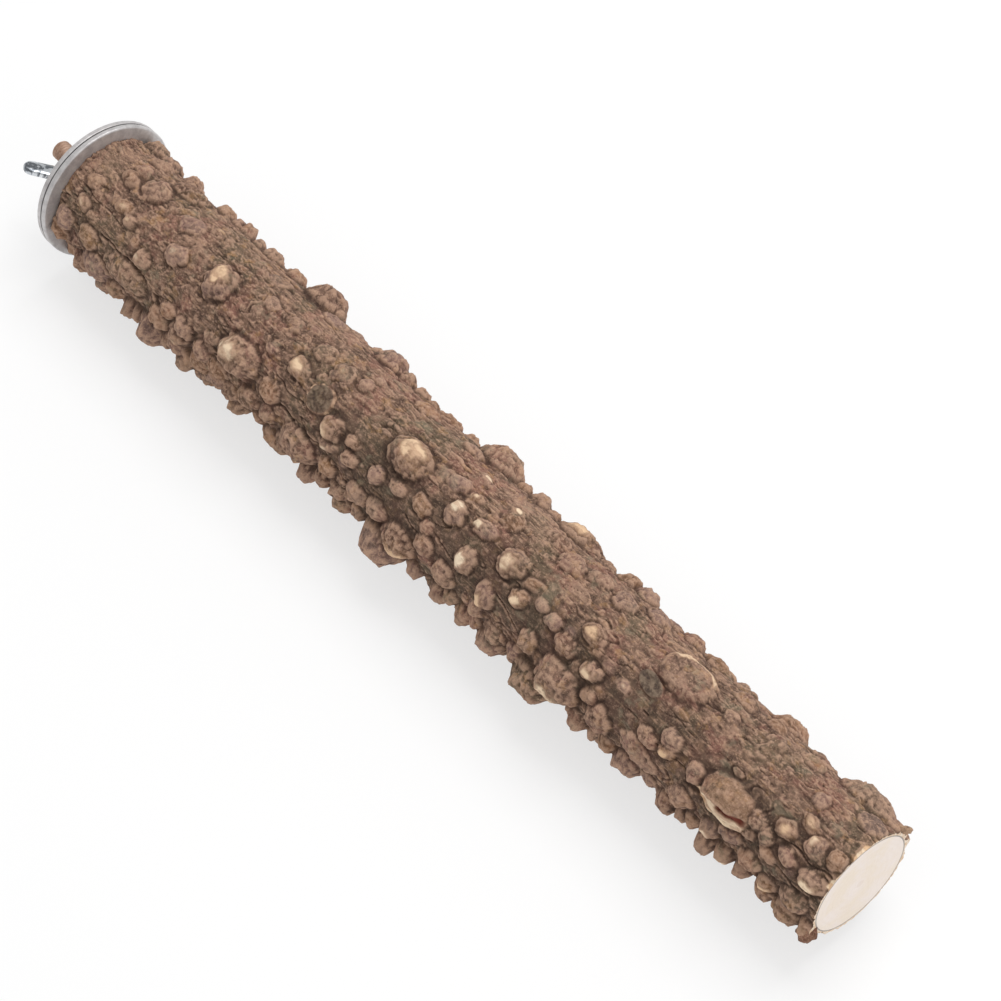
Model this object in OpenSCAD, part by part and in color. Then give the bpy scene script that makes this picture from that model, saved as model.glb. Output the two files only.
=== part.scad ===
// Bird perch: a knobby natural log that a hanger bolt, two wide washers and a wing nut clamp to the wires of a
// cage. The log lies along +X. The origin is the clamp plane, where the two washers meet, on the axis of the bolt.
// Angles round the log count from straight up (+Z) towards -Y: the side that people look at is near 30 degrees.

/* [Log] */
// Length of the log, from its clamped end to its sawn free end
log_length = 300; // [220:5:380]
// Radius of the wood under the bark
core_radius = 14.5; // [12:0.5:18]
// Thickness of the bark between its knobs, at the clamped end
bark_at_clamp = 3.1; // [1.5:0.1:5]
// Thickness of the bark between its knobs, at the free end
bark_at_free_end = 0.9; // [0.8:0.1:3]
// Depth of the fissures that run along the bark
fissure_depth = 0.25; // [0:0.05:0.5]
// Gap between the wood and the bark, where the bark grew on it
bark_gap = 0.05; // [0.02:0.01:0.1]

/* [Knobs] */
// Length along the log of the longest knob
knob_length = 20; // [14:1:26]
// Width round the log of the widest knob
knob_width = 12.5; // [8:0.5:16]
// Height above the bark of the highest knob
knob_height = 8; // [3:0.5:10]
// Number of knobs scattered over the side that faces away
back_knobs = 64; // [20:1:90]

/* [Washers] */
// Outer diameter of each washer
washer_d = 43.4; // [38:0.2:50]
// Thickness of each washer
washer_t = 1.8; // [1.2:0.1:2.6]
// Radius of the rolled edge of each washer
washer_edge = 0.5; // [0.2:0.1:0.6]
// Gap between the hole of a washer and the bolt, all round
washer_play = 0.2; // [0.1:0.05:0.4]

/* [Hanger bolt] */
// Diameter of the machine thread
bolt_d = 6; // [5:0.5:8]
// Length that stands out from the clamp plane
bolt_reach = 22; // [20:1:40]
// Radius of the rounded tip
bolt_tip_r = 4; // [4:0.5:10]
// Length of the machine thread and plain neck that sit in the wood
bolt_neck = 6; // [3:1:15]
// Length of the wood screw beyond the neck, with its point
screw_length = 28; // [15:1:60]
// Diameter of the wood screw at the root of its thread
screw_d = 4.6; // [3.5:0.1:5]
// Length of the tapered point of the wood screw
screw_point = 7; // [4:0.5:12]
// Gap between the bolt and the hole in the wood
pilot_gap = 0.05; // [0.02:0.01:0.1]

/* [Wing nut] */
// Span across the two wings
nut_span = 33; // [28:1:40]
// Height from the seat of the nut to the tips of its wings
nut_height = 16.4; // [14:0.2:19]
// Height of the hub
hub_height = 8.4; // [6:0.2:11]
// Diameter of the hub at its seat
hub_seat_d = 12.4; // [11:0.2:15]
// Diameter of the hub at its top
hub_top_d = 10.4; // [9.6:0.2:12]
// Bevel round the seat and the top of the hub
hub_bevel = 0.5; // [0.2:0.1:0.8]
// Thickness of a wing
wing_t = 2.5; // [2:0.1:4]
// Radius of the rounded tip of a wing
wing_tip_r = 2.8; // [2.4:0.1:5]
// Height above the seat where a wing leaves the hub
wing_foot = 1.4; // [0.8:0.1:3]
// Angle of the wings round the log at rest
wing_angle = 69; // [0:1:180]
// Running gap between the nut and the bolt
nut_play = 0.07; // [0.03:0.01:0.1]

/* [Hidden] */

// Facets that stand for a true circle
round_fn = 64;
// How far a cut runs past what it cuts
overrun = 1;

// Where the log starts and ends along X
log_start = washer_t;
log_end = log_start + log_length;

// Lattice of the bark: points round the log, and rows along it
bark_sides = 46;
bark_rows = 120;

// A whole turn, half of it, and the golden share of it that spreads the knobs at the back
turn = 360;
half_turn = 180;
golden_share = 0.618034;

// Knobs of the sides in view, chosen by hand. Each row is the place along the log as a share of its length,
// the angle round it, then the length, width and height as shares of those of the largest knob. A sixth number
// is the share of a flat-topped knob's reach that its sloping flank takes.
upper_knob_shares = [
    [0.014, -62, 0.45, 0.72, 0.38], [0.037, -60, 0.40, 0.64, 0.30], [0.071, -62, 0.40, 0.64, 0.38],
    [0.119, -62, 0.40, 0.56, 0.33], [0.139, -60, 0.25, 0.40, 0.33], [0.149, -64, 0.33, 0.48, 0.41],
    [0.171, -62, 0.25, 0.40, 0.24], [0.191, -62, 0.40, 0.56, 0.31], [0.224, -62, 0.40, 0.56, 0.41],
    [0.271, -62, 0.90, 0.96, 0.69], [0.317, -60, 0.30, 0.40, 0.11], [0.357, -62, 0.70, 0.88, 0.51],
    [0.384, -61, 0.30, 0.48, 0.34], [0.406, -62, 0.30, 0.48, 0.24], [0.422, -60, 0.25, 0.40, 0.19],
    [0.444, -62, 0.45, 0.56, 0.22], [0.511, -62, 0.90, 1.00, 0.71], [0.544, -60, 0.25, 0.40, 0.25],
    [0.564, -62, 0.38, 0.56, 0.40], [0.582, -60, 0.25, 0.40, 0.19], [0.617, -62, 0.85, 0.88, 0.45],
    [0.651, -60, 0.25, 0.40, 0.12], [0.677, -62, 0.38, 0.56, 0.35], [0.699, -62, 0.40, 0.56, 0.36],
    [0.732, -62, 0.28, 0.40, 0.18], [0.757, -62, 0.40, 0.56, 0.28], [0.786, -62, 0.45, 0.48, 0.24],
    [0.817, -62, 0.30, 0.48, 0.22], [0.866, -62, 0.50, 0.64, 0.35], [0.911, -60, 0.45, 0.48, 0.12],
    [0.964, -62, 0.75, 0.88, 0.54], [0.991, -60, 0.40, 0.64, 0.33], [0.094, -32, 0.60, 0.72, 0.25],
    [0.159, -16, 0.45, 0.36, 0.18], [0.234, -24, 0.40, 0.40, 0.12], [0.434, -34, 0.45, 0.48, 0.16],
    [0.494, -36, 0.40, 0.40, 0.18], [0.617, -19, 0.40, 0.44, 0.20], [0.646, -9, 0.45, 0.52, 0.22],
    [0.671, -17, 0.40, 0.40, 0.19], [0.702, -17, 0.38, 0.52, 0.22], [0.727, -38, 0.40, 0.48, 0.18],
    [0.834, -34, 0.45, 0.48, 0.19], [0.884, -14, 0.33, 0.48, 0.20], [0.914, -34, 0.35, 0.40, 0.18],
    [0.946, -2, 0.23, 0.40, 0.18], [0.986, -22, 0.40, 0.56, 0.28], [0.044, -36, 0.40, 0.48, 0.18],
    [0.297, -40, 0.45, 0.48, 0.15]
];
front_knob_shares = [
    [0.051, -9, 0.33, 0.40, 0.25], [0.051, 5, 0.35, 0.40, 0.28], [0.079, -3, 0.48, 0.64, 0.28],
    [0.134, -2, 0.45, 0.48, 0.18], [0.026, 26, 0.35, 0.36, 0.20], [0.071, 26, 0.35, 0.37, 0.22],
    [0.086, 32, 0.28, 0.32, 0.20], [0.029, 46, 0.28, 0.29, 0.22], [0.121, 48, 0.33, 0.44, 0.28],
    [0.149, 26, 0.40, 0.52, 0.25], [0.204, 19, 0.53, 0.88, 0.53], [0.231, 58, 0.30, 0.32, 0.15],
    [0.267, 54, 0.80, 0.88, 0.61], [0.256, 2, 0.30, 0.36, 0.12], [0.289, 1, 0.30, 0.40, 0.15],
    [0.332, 2, 0.38, 0.48, 0.18], [0.361, 5, 0.38, 0.52, 0.20], [0.384, -1, 0.23, 0.37, 0.15],
    [0.329, 26, 0.40, 0.45, 0.25], [0.313, 58, 0.43, 0.53, 0.33], [0.363, 34, 0.47, 0.69, 0.19, 0.25],
    [0.391, 45, 0.38, 0.56, 0.40], [0.394, 58, 0.40, 0.29, 0.22], [0.416, 41, 0.28, 0.32, 0.25],
    [0.421, 54, 0.33, 0.34, 0.25], [0.453, 48, 0.28, 0.45, 0.28], [0.479, 44, 0.33, 0.32, 0.25],
    [0.468, 19, 0.78, 0.84, 0.60], [0.507, 41, 0.38, 0.40, 0.28], [0.523, 52, 0.25, 0.32, 0.20],
    [0.519, 8, 0.38, 0.40, 0.19], [0.539, 28, 0.33, 0.48, 0.33], [0.567, 21, 0.38, 0.38, 0.28],
    [0.581, 0, 0.35, 0.45, 0.21], [0.572, 50, 0.35, 0.62, 0.38], [0.610, 26, 0.48, 0.64, 0.45],
    [0.605, 62, 0.33, 0.64, 0.38], [0.635, 43, 0.33, 0.40, 0.30], [0.656, 35, 0.24, 0.27, 0.20],
    [0.673, 38, 0.28, 0.37, 0.25], [0.694, 46, 0.38, 0.48, 0.30], [0.706, 24, 0.31, 0.32, 0.25],
    [0.730, 46, 0.33, 0.40, 0.35], [0.661, 69, 0.33, 0.56, 0.38], [0.736, 66, 0.33, 0.40, 0.25],
    [0.775, 22, 0.45, 0.40, 0.09, 0.25], [0.792, -4, 0.88, 0.92, 0.28, 0.35], [0.801, 56, 0.35, 0.37, 0.28],
    [0.821, 43, 0.36, 0.43, 0.33], [0.823, 54, 0.30, 0.27, 0.33], [0.852, 51, 0.28, 0.48, 0.25],
    [0.890, 49, 0.83, 0.88, 0.58, 0.55], [0.919, 45, 0.30, 0.45, 0.25], [0.933, 49, 0.25, 0.40, 0.22],
    [0.917, 58, 0.26, 0.32, 0.20], [0.943, 34, 0.33, 0.40, 0.28], [0.956, 17, 0.28, 0.26, 0.22],
    [0.971, 29, 0.30, 0.45, 0.28], [0.957, 50, 0.33, 0.32, 0.28], [0.941, 61, 0.30, 0.32, 0.22],
    [0.985, 52, 0.45, 0.45, 0.35], [0.991, 26, 0.28, 0.45, 0.28]
];
lower_knob_shares = [
    [0.014, 70, 0.40, 0.64, 0.30], [0.051, 68, 0.45, 0.56, 0.28], [0.107, 72, 0.90, 0.72, 0.38],
    [0.171, 69, 0.35, 0.40, 0.22], [0.196, 71, 0.40, 0.45, 0.30], [0.224, 77, 0.35, 0.48, 0.30],
    [0.007, 90, 0.40, 0.64, 0.33], [0.064, 96, 0.70, 0.88, 0.45], [0.039, 111, 0.45, 0.64, 0.53],
    [0.067, 121, 0.45, 0.64, 0.49], [0.091, 106, 0.40, 0.56, 0.40], [0.111, 116, 0.33, 0.48, 0.61],
    [0.126, 112, 0.25, 0.40, 0.50], [0.147, 114, 0.60, 0.88, 0.83], [0.161, 85, 0.45, 0.56, 0.40],
    [0.172, 108, 0.35, 0.48, 0.48], [0.194, 115, 0.45, 0.72, 0.63], [0.189, 84, 0.45, 0.60, 0.38],
    [0.187, 99, 0.40, 0.56, 0.43], [0.221, 97, 0.50, 0.64, 0.33], [0.234, 113, 0.60, 0.64, 0.28],
    [0.247, 82, 0.50, 0.52, 0.28], [0.269, 116, 0.40, 0.56, 0.49], [0.264, 98, 0.45, 0.56, 0.35],
    [0.291, 83, 0.45, 0.56, 0.30], [0.327, 115, 0.65, 0.64, 0.43], [0.317, 80, 0.35, 0.48, 0.30],
    [0.304, 100, 0.35, 0.56, 0.20], [0.361, 84, 0.70, 0.88, 0.48], [0.344, 100, 0.45, 0.64, 0.40],
    [0.372, 115, 0.40, 0.56, 0.64], [0.392, 106, 0.30, 0.44, 0.38], [0.401, 78, 0.35, 0.48, 0.28],
    [0.419, 115, 0.50, 0.64, 0.51], [0.417, 97, 0.40, 0.52, 0.38], [0.441, 110, 0.35, 0.48, 0.35],
    [0.441, 78, 0.45, 0.48, 0.33], [0.477, 113, 0.85, 1.00, 0.99], [0.467, 75, 0.40, 0.45, 0.30],
    [0.499, 87, 0.65, 0.88, 0.55], [0.517, 115, 0.33, 0.48, 0.48], [0.527, 68, 0.35, 0.48, 0.28],
    [0.551, 116, 0.40, 0.56, 0.55], [0.557, 78, 0.45, 0.56, 0.35], [0.566, 104, 0.30, 0.44, 0.38],
    [0.582, 116, 0.40, 0.56, 0.59], [0.601, 80, 0.30, 0.40, 0.33], [0.599, 106, 0.30, 0.44, 0.35],
    [0.619, 114, 0.60, 0.64, 0.65], [0.624, 95, 0.40, 0.56, 0.38], [0.672, 113, 0.85, 1.00, 0.88],
    [0.651, 97, 0.35, 0.56, 0.40], [0.702, 78, 0.80, 1.00, 0.65], [0.697, 98, 0.45, 0.64, 0.43],
    [0.726, 114, 0.50, 0.64, 0.56], [0.746, 113, 0.25, 0.40, 0.40], [0.751, 80, 0.45, 0.72, 0.35],
    [0.762, 108, 0.35, 0.48, 0.35], [0.784, 114, 0.50, 0.64, 0.50], [0.797, 78, 0.70, 0.64, 0.25],
    [0.812, 108, 0.30, 0.44, 0.25], [0.834, 115, 0.40, 0.56, 0.53], [0.849, 84, 0.40, 0.56, 0.33],
    [0.852, 113, 0.25, 0.40, 0.39], [0.864, 106, 0.30, 0.44, 0.36], [0.882, 115, 0.40, 0.56, 0.68],
    [0.884, 88, 0.33, 0.44, 0.35], [0.902, 106, 0.33, 0.48, 0.51], [0.904, 76, 0.40, 0.40, 0.22],
    [0.921, 113, 0.28, 0.44, 0.44], [0.927, 84, 0.40, 0.48, 0.30], [0.947, 112, 0.40, 0.52, 0.41],
    [0.949, 93, 0.33, 0.44, 0.38], [0.972, 113, 0.60, 0.64, 0.51], [0.977, 82, 0.45, 0.56, 0.30],
    [0.994, 110, 0.30, 0.56, 0.46]
];

// Share of a number that is left past its whole part
function spare_share(x) = x - floor(x);

// Knobs of the side that faces away: even steps along the log, golden steps round it, three sizes in turn
back_from = 132;
back_to = 284;
back_size_shares = [0.40, 0.62, 0.50];
function back_knob(k) =
    let (size_share = back_size_shares[k % len(back_size_shares)] * (1 + 0.3 * sin(k * turn * golden_share)))
    [
        (k + 0.5) / back_knobs,
        back_from + (back_to - back_from) * spare_share(k * golden_share),
        size_share,
        min(1, 1.25 * size_share),
        0.75 * size_share
    ];
back_knob_shares = [for (k = [0 : back_knobs - 1]) back_knob(k)];

all_knob_shares = concat(upper_knob_shares, front_knob_shares, lower_knob_shares, back_knob_shares);

// Radius of the bark in a hollow, at a share of the log's length
function hollow_radius(along) = core_radius + bark_at_clamp + (bark_at_free_end - bark_at_clamp) * along;

// Depth taken by the fissures: two sets of wavy grooves that run along the log
function fissure(along, angle) =
    fissure_depth * (0.6 * sin(9 * angle + 50 * sin(2.3 * turn * along))
        + 0.4 * sin(5 * angle - 140 + 70 * sin(1.4 * turn * along + 40)));

// Signed angle from one direction to another, by the shorter way
function angle_between(a, b) = a - b - turn * floor((a - b + half_turn) / turn);

// How far a point lies from the middle of a knob, where 1 is the knob's edge
function knob_distance(knob, along, angle, radius) =
    let (
        u = 2 * (along - knob[0]) * log_length / (knob[2] * knob_length),
        v = 2 * angle_between(angle, knob[1]) / turn * 2 * PI * radius / (knob[3] * knob_width)
    )
    sqrt(u * u + v * v);

// Share of a knob's reach that its sloping flank takes, outside its blunt crown, unless the knob has its own
knob_flank_share = 0.65;

// Rise of the bark at a knob: straight flanks up to a blunt crown
function knob_rise(knob, distance) =
    let (flank_share = len(knob) > 5 ? knob[5] : knob_flank_share)
    distance >= 1 ? 0 : knob[4] * knob_height * min(1, (1 - distance) / flank_share);

// Radius of the bark at a share of the length and an angle, with the knobs that can reach that place
function bark_radius(along, angle, knobs) =
    let (
        hollow = hollow_radius(along),
        rises = [for (knob = knobs) knob_rise(knob, knob_distance(knob, along, angle, hollow))]
    )
    hollow + fissure(along, angle) + max(concat([0], rises));

// One row of lattice points round the log. Odd rows are turned by half a step, so the triangles are even.
function bark_ring(row) =
    let (
        along = row / bark_rows,
        reach = knob_length / log_length / 2,
        knobs = [for (knob = all_knob_shares) if (abs(knob[0] - along) < reach) knob]
    )
    [
        for (side = [0 : bark_sides - 1])
            let (
                angle = (side + (row % 2) / 2) * turn / bark_sides,
                radius = bark_radius(along, angle, knobs)
            )
            [log_start + along * log_length, -radius * sin(angle), radius * cos(angle)]
    ];

// Number of a lattice point
function lattice(row, side) = row * bark_sides + side % bark_sides;

// The two triangles between a point, its neighbour on the same row, and the next row
function lattice_faces(row, side) =
    row % 2 == 0
        ? [
            [lattice(row, side), lattice(row + 1, side), lattice(row, side + 1)],
            [lattice(row, side + 1), lattice(row + 1, side), lattice(row + 1, side + 1)]
        ]
        : [
            [lattice(row, side), lattice(row + 1, side + 1), lattice(row, side + 1)],
            [lattice(row, side), lattice(row + 1, side), lattice(row + 1, side + 1)]
        ];

// The log's outer surface as one closed block, sawn flat at both ends
module knobby_log() {
    points = [for (row = [0 : bark_rows]) each bark_ring(row)];
    first_end = [for (side = [0 : bark_sides - 1]) lattice(0, side)];
    last_end = [for (side = [bark_sides - 1 : -1 : 0]) lattice(bark_rows, side)];
    skin = [for (row = [0 : bark_rows - 1], side = [0 : bark_sides - 1]) each lattice_faces(row, side)];
    polyhedron(points = points, faces = concat([first_end], skin, [last_end]));
}

// Places what is drawn along +Z on the axis of the log, pointing away from it or into it
module outwards() {
    rotate([0, -90, 0]) children();
}

module inwards() {
    rotate([0, 90, 0]) children();
}

// The outline of the hanger bolt, a gap larger all round for the hole that takes it
module bolt_body(gap) {
    inwards() {
        translate([0, 0, -overrun])
            cylinder(d = bolt_d + 2 * gap, h = log_start + bolt_neck + overrun, $fn = round_fn);
        translate([0, 0, log_start + bolt_neck]) {
            cylinder(d = screw_d + 2 * gap, h = screw_length - screw_point, $fn = round_fn);
            translate([0, 0, screw_length - screw_point])
                cylinder(d1 = screw_d + 2 * gap, d2 = 2 * gap, h = screw_point + gap, $fn = round_fn);
        }
    }
}

module wood_core() {
    color("#efe3da")
        difference() {
            translate([log_start, 0, 0]) inwards() cylinder(r = core_radius, h = log_length, $fn = round_fn);
            bolt_body(pilot_gap);
        }
}

module bark() {
    color("#7d6656")
        difference() {
            knobby_log();
            translate([log_start - overrun, 0, 0])
                inwards() cylinder(r = core_radius + bark_gap, h = log_length + 2 * overrun, $fn = round_fn);
        }
}

module hanger_bolt() {
    // Height of the cap that the tip's radius cuts from the bolt's end
    cap = bolt_tip_r - sqrt(bolt_tip_r * bolt_tip_r - bolt_d * bolt_d / 4);
    color("#b98a5a") {
        bolt_body(0);
        outwards() {
            cylinder(d = bolt_d, h = bolt_reach - cap, $fn = round_fn);
            intersection() {
                translate([0, 0, bolt_reach - cap]) cylinder(d = bolt_d, h = cap, $fn = round_fn);
                translate([0, 0, bolt_reach - bolt_tip_r]) sphere(r = bolt_tip_r, $fn = round_fn);
            }
        }
    }
}

// Half of a washer's section: a flat bar whose outer end is rolled round at both corners
module washer_section() {
    hole_r = bolt_d / 2 + washer_play;
    rim_r = washer_d / 2;
    translate([hole_r, 0]) square([rim_r - washer_edge - hole_r, washer_t]);
    translate([rim_r - 2 * washer_edge, washer_edge]) square([2 * washer_edge, washer_t - 2 * washer_edge]);
    for (side = [washer_edge, washer_t - washer_edge])
        translate([rim_r - washer_edge, side]) circle(r = washer_edge, $fn = round_fn);
}

module inner_washer() {
    color("#c9c6c3") inwards() rotate_extrude($fn = round_fn) washer_section();
}

module outer_washer() {
    color("#c9c6c3") outwards() rotate_extrude($fn = round_fn) washer_section();
}

// Where a line from a point touches a circle, on its left (side 1) or its right (side -1)
function tangent_point(from, centre, radius, side) =
    let (
        away = centre - from,
        reach = norm(away),
        heading = atan2(away[1], away[0]) + side * asin(radius / reach),
        run = sqrt(reach * reach - radius * radius)
    )
    from + run * [cos(heading), sin(heading)];

// One wing seen flat: it flares from the hub's side to a round tip, with straight edges that touch the tip
module wing_outline() {
    tip = [nut_span / 2 - wing_tip_r, nut_height - wing_tip_r];
    foot = [hub_seat_d / 2 - hub_bevel - (hub_seat_d - hub_top_d) / 4, wing_foot];
    crotch = [hub_top_d / 2 - hub_bevel, hub_height - hub_bevel];
    root = bolt_d / 2 + nut_play + hub_bevel;
    translate(tip) circle(r = wing_tip_r, $fn = round_fn);
    polygon([
        [root, wing_foot],
        foot,
        tangent_point(foot, tip, wing_tip_r, -1),
        tip,
        tangent_point(crotch, tip, wing_tip_r, 1),
        crotch,
        [root, hub_height - hub_bevel]
    ]);
}

// Half of the hub's section: a slight taper with a bevel at its seat and its top
module hub_section() {
    polygon([
        [0, 0],
        [hub_seat_d / 2 - hub_bevel, 0],
        [hub_seat_d / 2, hub_bevel],
        [hub_top_d / 2, hub_height - hub_bevel],
        [hub_top_d / 2 - hub_bevel, hub_height],
        [0, hub_height]
    ]);
}

module wing_nut() {
    color("#dcdfe2")
        translate([-washer_t, 0, 0])
            outwards()
                rotate([0, 0, -wing_angle])
                    difference() {
                        union() {
                            rotate_extrude($fn = round_fn) hub_section();
                            for (turned = [0, half_turn])
                                rotate([0, 0, turned])
                                    rotate([90, 0, 0])
                                        linear_extrude(height = wing_t, center = true) wing_outline();
                        }
                        translate([0, 0, -overrun])
                            cylinder(d = bolt_d + 2 * nut_play, h = nut_height + 2 * overrun, $fn = round_fn);
                    }
}

wood_core();
bark();
hanger_bolt();
inner_washer();
outer_washer();
wing_nut();
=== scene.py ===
# %% [markdown]
# A knobby bird perch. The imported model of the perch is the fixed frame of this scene: it holds the size and
# the place of every piece, in metres, with the log along +X and the clamp at the origin. This file dresses
# that frame. It needs no fitting, because every surface below starts from the boxes that the frame gives.

# %% Load the frame
import math
from itertools import product
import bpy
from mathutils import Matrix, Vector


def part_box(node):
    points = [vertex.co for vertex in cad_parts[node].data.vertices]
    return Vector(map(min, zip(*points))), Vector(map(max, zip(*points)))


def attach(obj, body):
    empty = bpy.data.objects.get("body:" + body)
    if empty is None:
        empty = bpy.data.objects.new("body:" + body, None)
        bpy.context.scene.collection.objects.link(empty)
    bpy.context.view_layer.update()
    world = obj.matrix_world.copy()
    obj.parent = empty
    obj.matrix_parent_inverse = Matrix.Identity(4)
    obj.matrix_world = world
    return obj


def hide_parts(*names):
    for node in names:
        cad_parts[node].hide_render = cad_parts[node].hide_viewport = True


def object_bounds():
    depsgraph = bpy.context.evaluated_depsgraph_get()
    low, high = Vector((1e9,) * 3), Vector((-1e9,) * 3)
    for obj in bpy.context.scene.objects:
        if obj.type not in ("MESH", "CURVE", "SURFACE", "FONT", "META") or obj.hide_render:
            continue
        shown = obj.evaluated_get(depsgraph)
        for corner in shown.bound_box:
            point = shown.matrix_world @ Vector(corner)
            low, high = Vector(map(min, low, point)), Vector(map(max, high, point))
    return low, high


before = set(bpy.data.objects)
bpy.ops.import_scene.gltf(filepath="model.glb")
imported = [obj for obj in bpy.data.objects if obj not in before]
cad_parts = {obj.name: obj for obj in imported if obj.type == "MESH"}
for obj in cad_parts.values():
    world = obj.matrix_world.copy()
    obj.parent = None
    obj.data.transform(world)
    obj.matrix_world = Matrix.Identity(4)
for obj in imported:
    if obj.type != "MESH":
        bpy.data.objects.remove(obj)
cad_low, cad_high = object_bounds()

from types import SimpleNamespace

import bpy
import numpy as np
from mathutils import Vector

MM = 0.001
print("frame loaded, nodes:", sorted(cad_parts))

# %% [markdown]
# The sizes that the new surfaces follow. Each is read from the box of the node that has it, so a change of
# the part moves the dressing with it. The log is the wood core with its bark, and the two washers meet at
# the origin.

# %% Read the sizes from the frame
core_low, core_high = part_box("wood_core")
LOG_START = core_low[0]
LOG_END = core_high[0]
LOG_LENGTH = LOG_END - LOG_START
CORE_RADIUS = core_high[2]
WASHER_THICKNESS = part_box("inner_washer")[1][0]
WASHER_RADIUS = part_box("inner_washer")[1][2]
BOLT_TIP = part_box("hanger_bolt")[0][0]
print(f"log {LOG_LENGTH / MM:.0f} mm long, wood {CORE_RADIUS / MM:.1f} mm in radius")
print(f"washers {WASHER_RADIUS / MM:.1f} mm in radius")

# %% [markdown]
# The camera comes first. The photograph was taken from above and beyond the free end, with a long lens: the
# sawn face shows as a slim oval and the washers as a rounder, smaller one, and those two ovals fix the
# direction, the distance and the lens. The log lies level, so the camera needs no roll.

# %% Camera at the photograph's angle
CAMERA_AZIMUTH = math.radians(49.07)
CAMERA_ELEVATION = math.radians(51.77)
CAMERA_DISTANCE = 0.7815
CAMERA_TARGET = Vector((0.1588, 0.0113, 0.0))
CAMERA_LENS = 107.9


def aim_camera():
    """A camera on a sphere round the target: azimuth turns it from -Y towards +X, elevation lifts it."""
    flat = math.cos(CAMERA_ELEVATION)
    back = Vector(
        (math.sin(CAMERA_AZIMUTH) * flat, -math.cos(CAMERA_AZIMUTH) * flat, math.sin(CAMERA_ELEVATION))
    )
    lens = bpy.data.cameras.new("camera")
    lens.lens = CAMERA_LENS
    lens.clip_start = 0.01
    lens.clip_end = 20.0
    camera = bpy.data.objects.new("camera", lens)
    camera.location = CAMERA_TARGET + back * CAMERA_DISTANCE
    camera.rotation_mode = "QUATERNION"
    camera.rotation_quaternion = (-back).to_track_quat("-Z", "Y")
    bpy.context.scene.collection.objects.link(camera)
    bpy.context.scene.camera = camera
    return camera


print("camera at", [round(c, 3) for c in aim_camera().location])

# %% [markdown]
# Materials are node trees, and their maths reads best as plain arithmetic. One small class wraps a socket
# and turns +, -, * and ** into Math nodes. A second one adds any other node from its type, its settings and
# its inputs, with a short method for each kind that the finishes use more than once.


# %% Shader arithmetic
class Value:
    """A socket that can be added, subtracted, multiplied and raised to a power like a number."""

    def __init__(self, finish, socket):
        self.finish = finish
        self.socket = socket

    def math(self, operation, first, second=0.0):
        return self.finish.node("ShaderNodeMath", {"operation": operation}, {0: first, 1: second})

    def __add__(self, other):
        return self.math("ADD", self, other)

    def __radd__(self, other):
        return self.math("ADD", other, self)

    def __sub__(self, other):
        return self.math("SUBTRACT", self, other)

    def __rsub__(self, other):
        return self.math("SUBTRACT", other, self)

    def __mul__(self, other):
        return self.math("MULTIPLY", self, other)

    def __rmul__(self, other):
        return self.math("MULTIPLY", other, self)

    def __pow__(self, other):
        return self.math("POWER", self, other)

    def applied(self, operation):
        """The value after a Math node that takes it alone, such as SINE or ABSOLUTE."""
        return self.math(operation, self)

    def clipped(self):
        """The value held between 0 and 1."""
        return self.finish.node("ShaderNodeClamp", {}, {"Value": self})

    def step(self, low, high):
        """0 below low, 1 above high, and a smooth rise between them."""
        inputs = {"Value": self, "From Min": low, "From Max": high}
        return self.finish.node("ShaderNodeMapRange", {"interpolation_type": "SMOOTHSTEP"}, inputs)


def paint(code):
    """A web colour such as #7d6656 as a linear RGBA value, the way shaders take it."""
    shares = [int(code[i : i + 2], 16) / 255 for i in (1, 3, 5)]
    linear = [s / 12.92 if s <= 0.04045 else ((s + 0.055) / 1.055) ** 2.4 for s in shares]
    return (*linear, 1.0)


print("bark brown is", [round(c, 3) for c in paint("#7d6656")])


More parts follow.
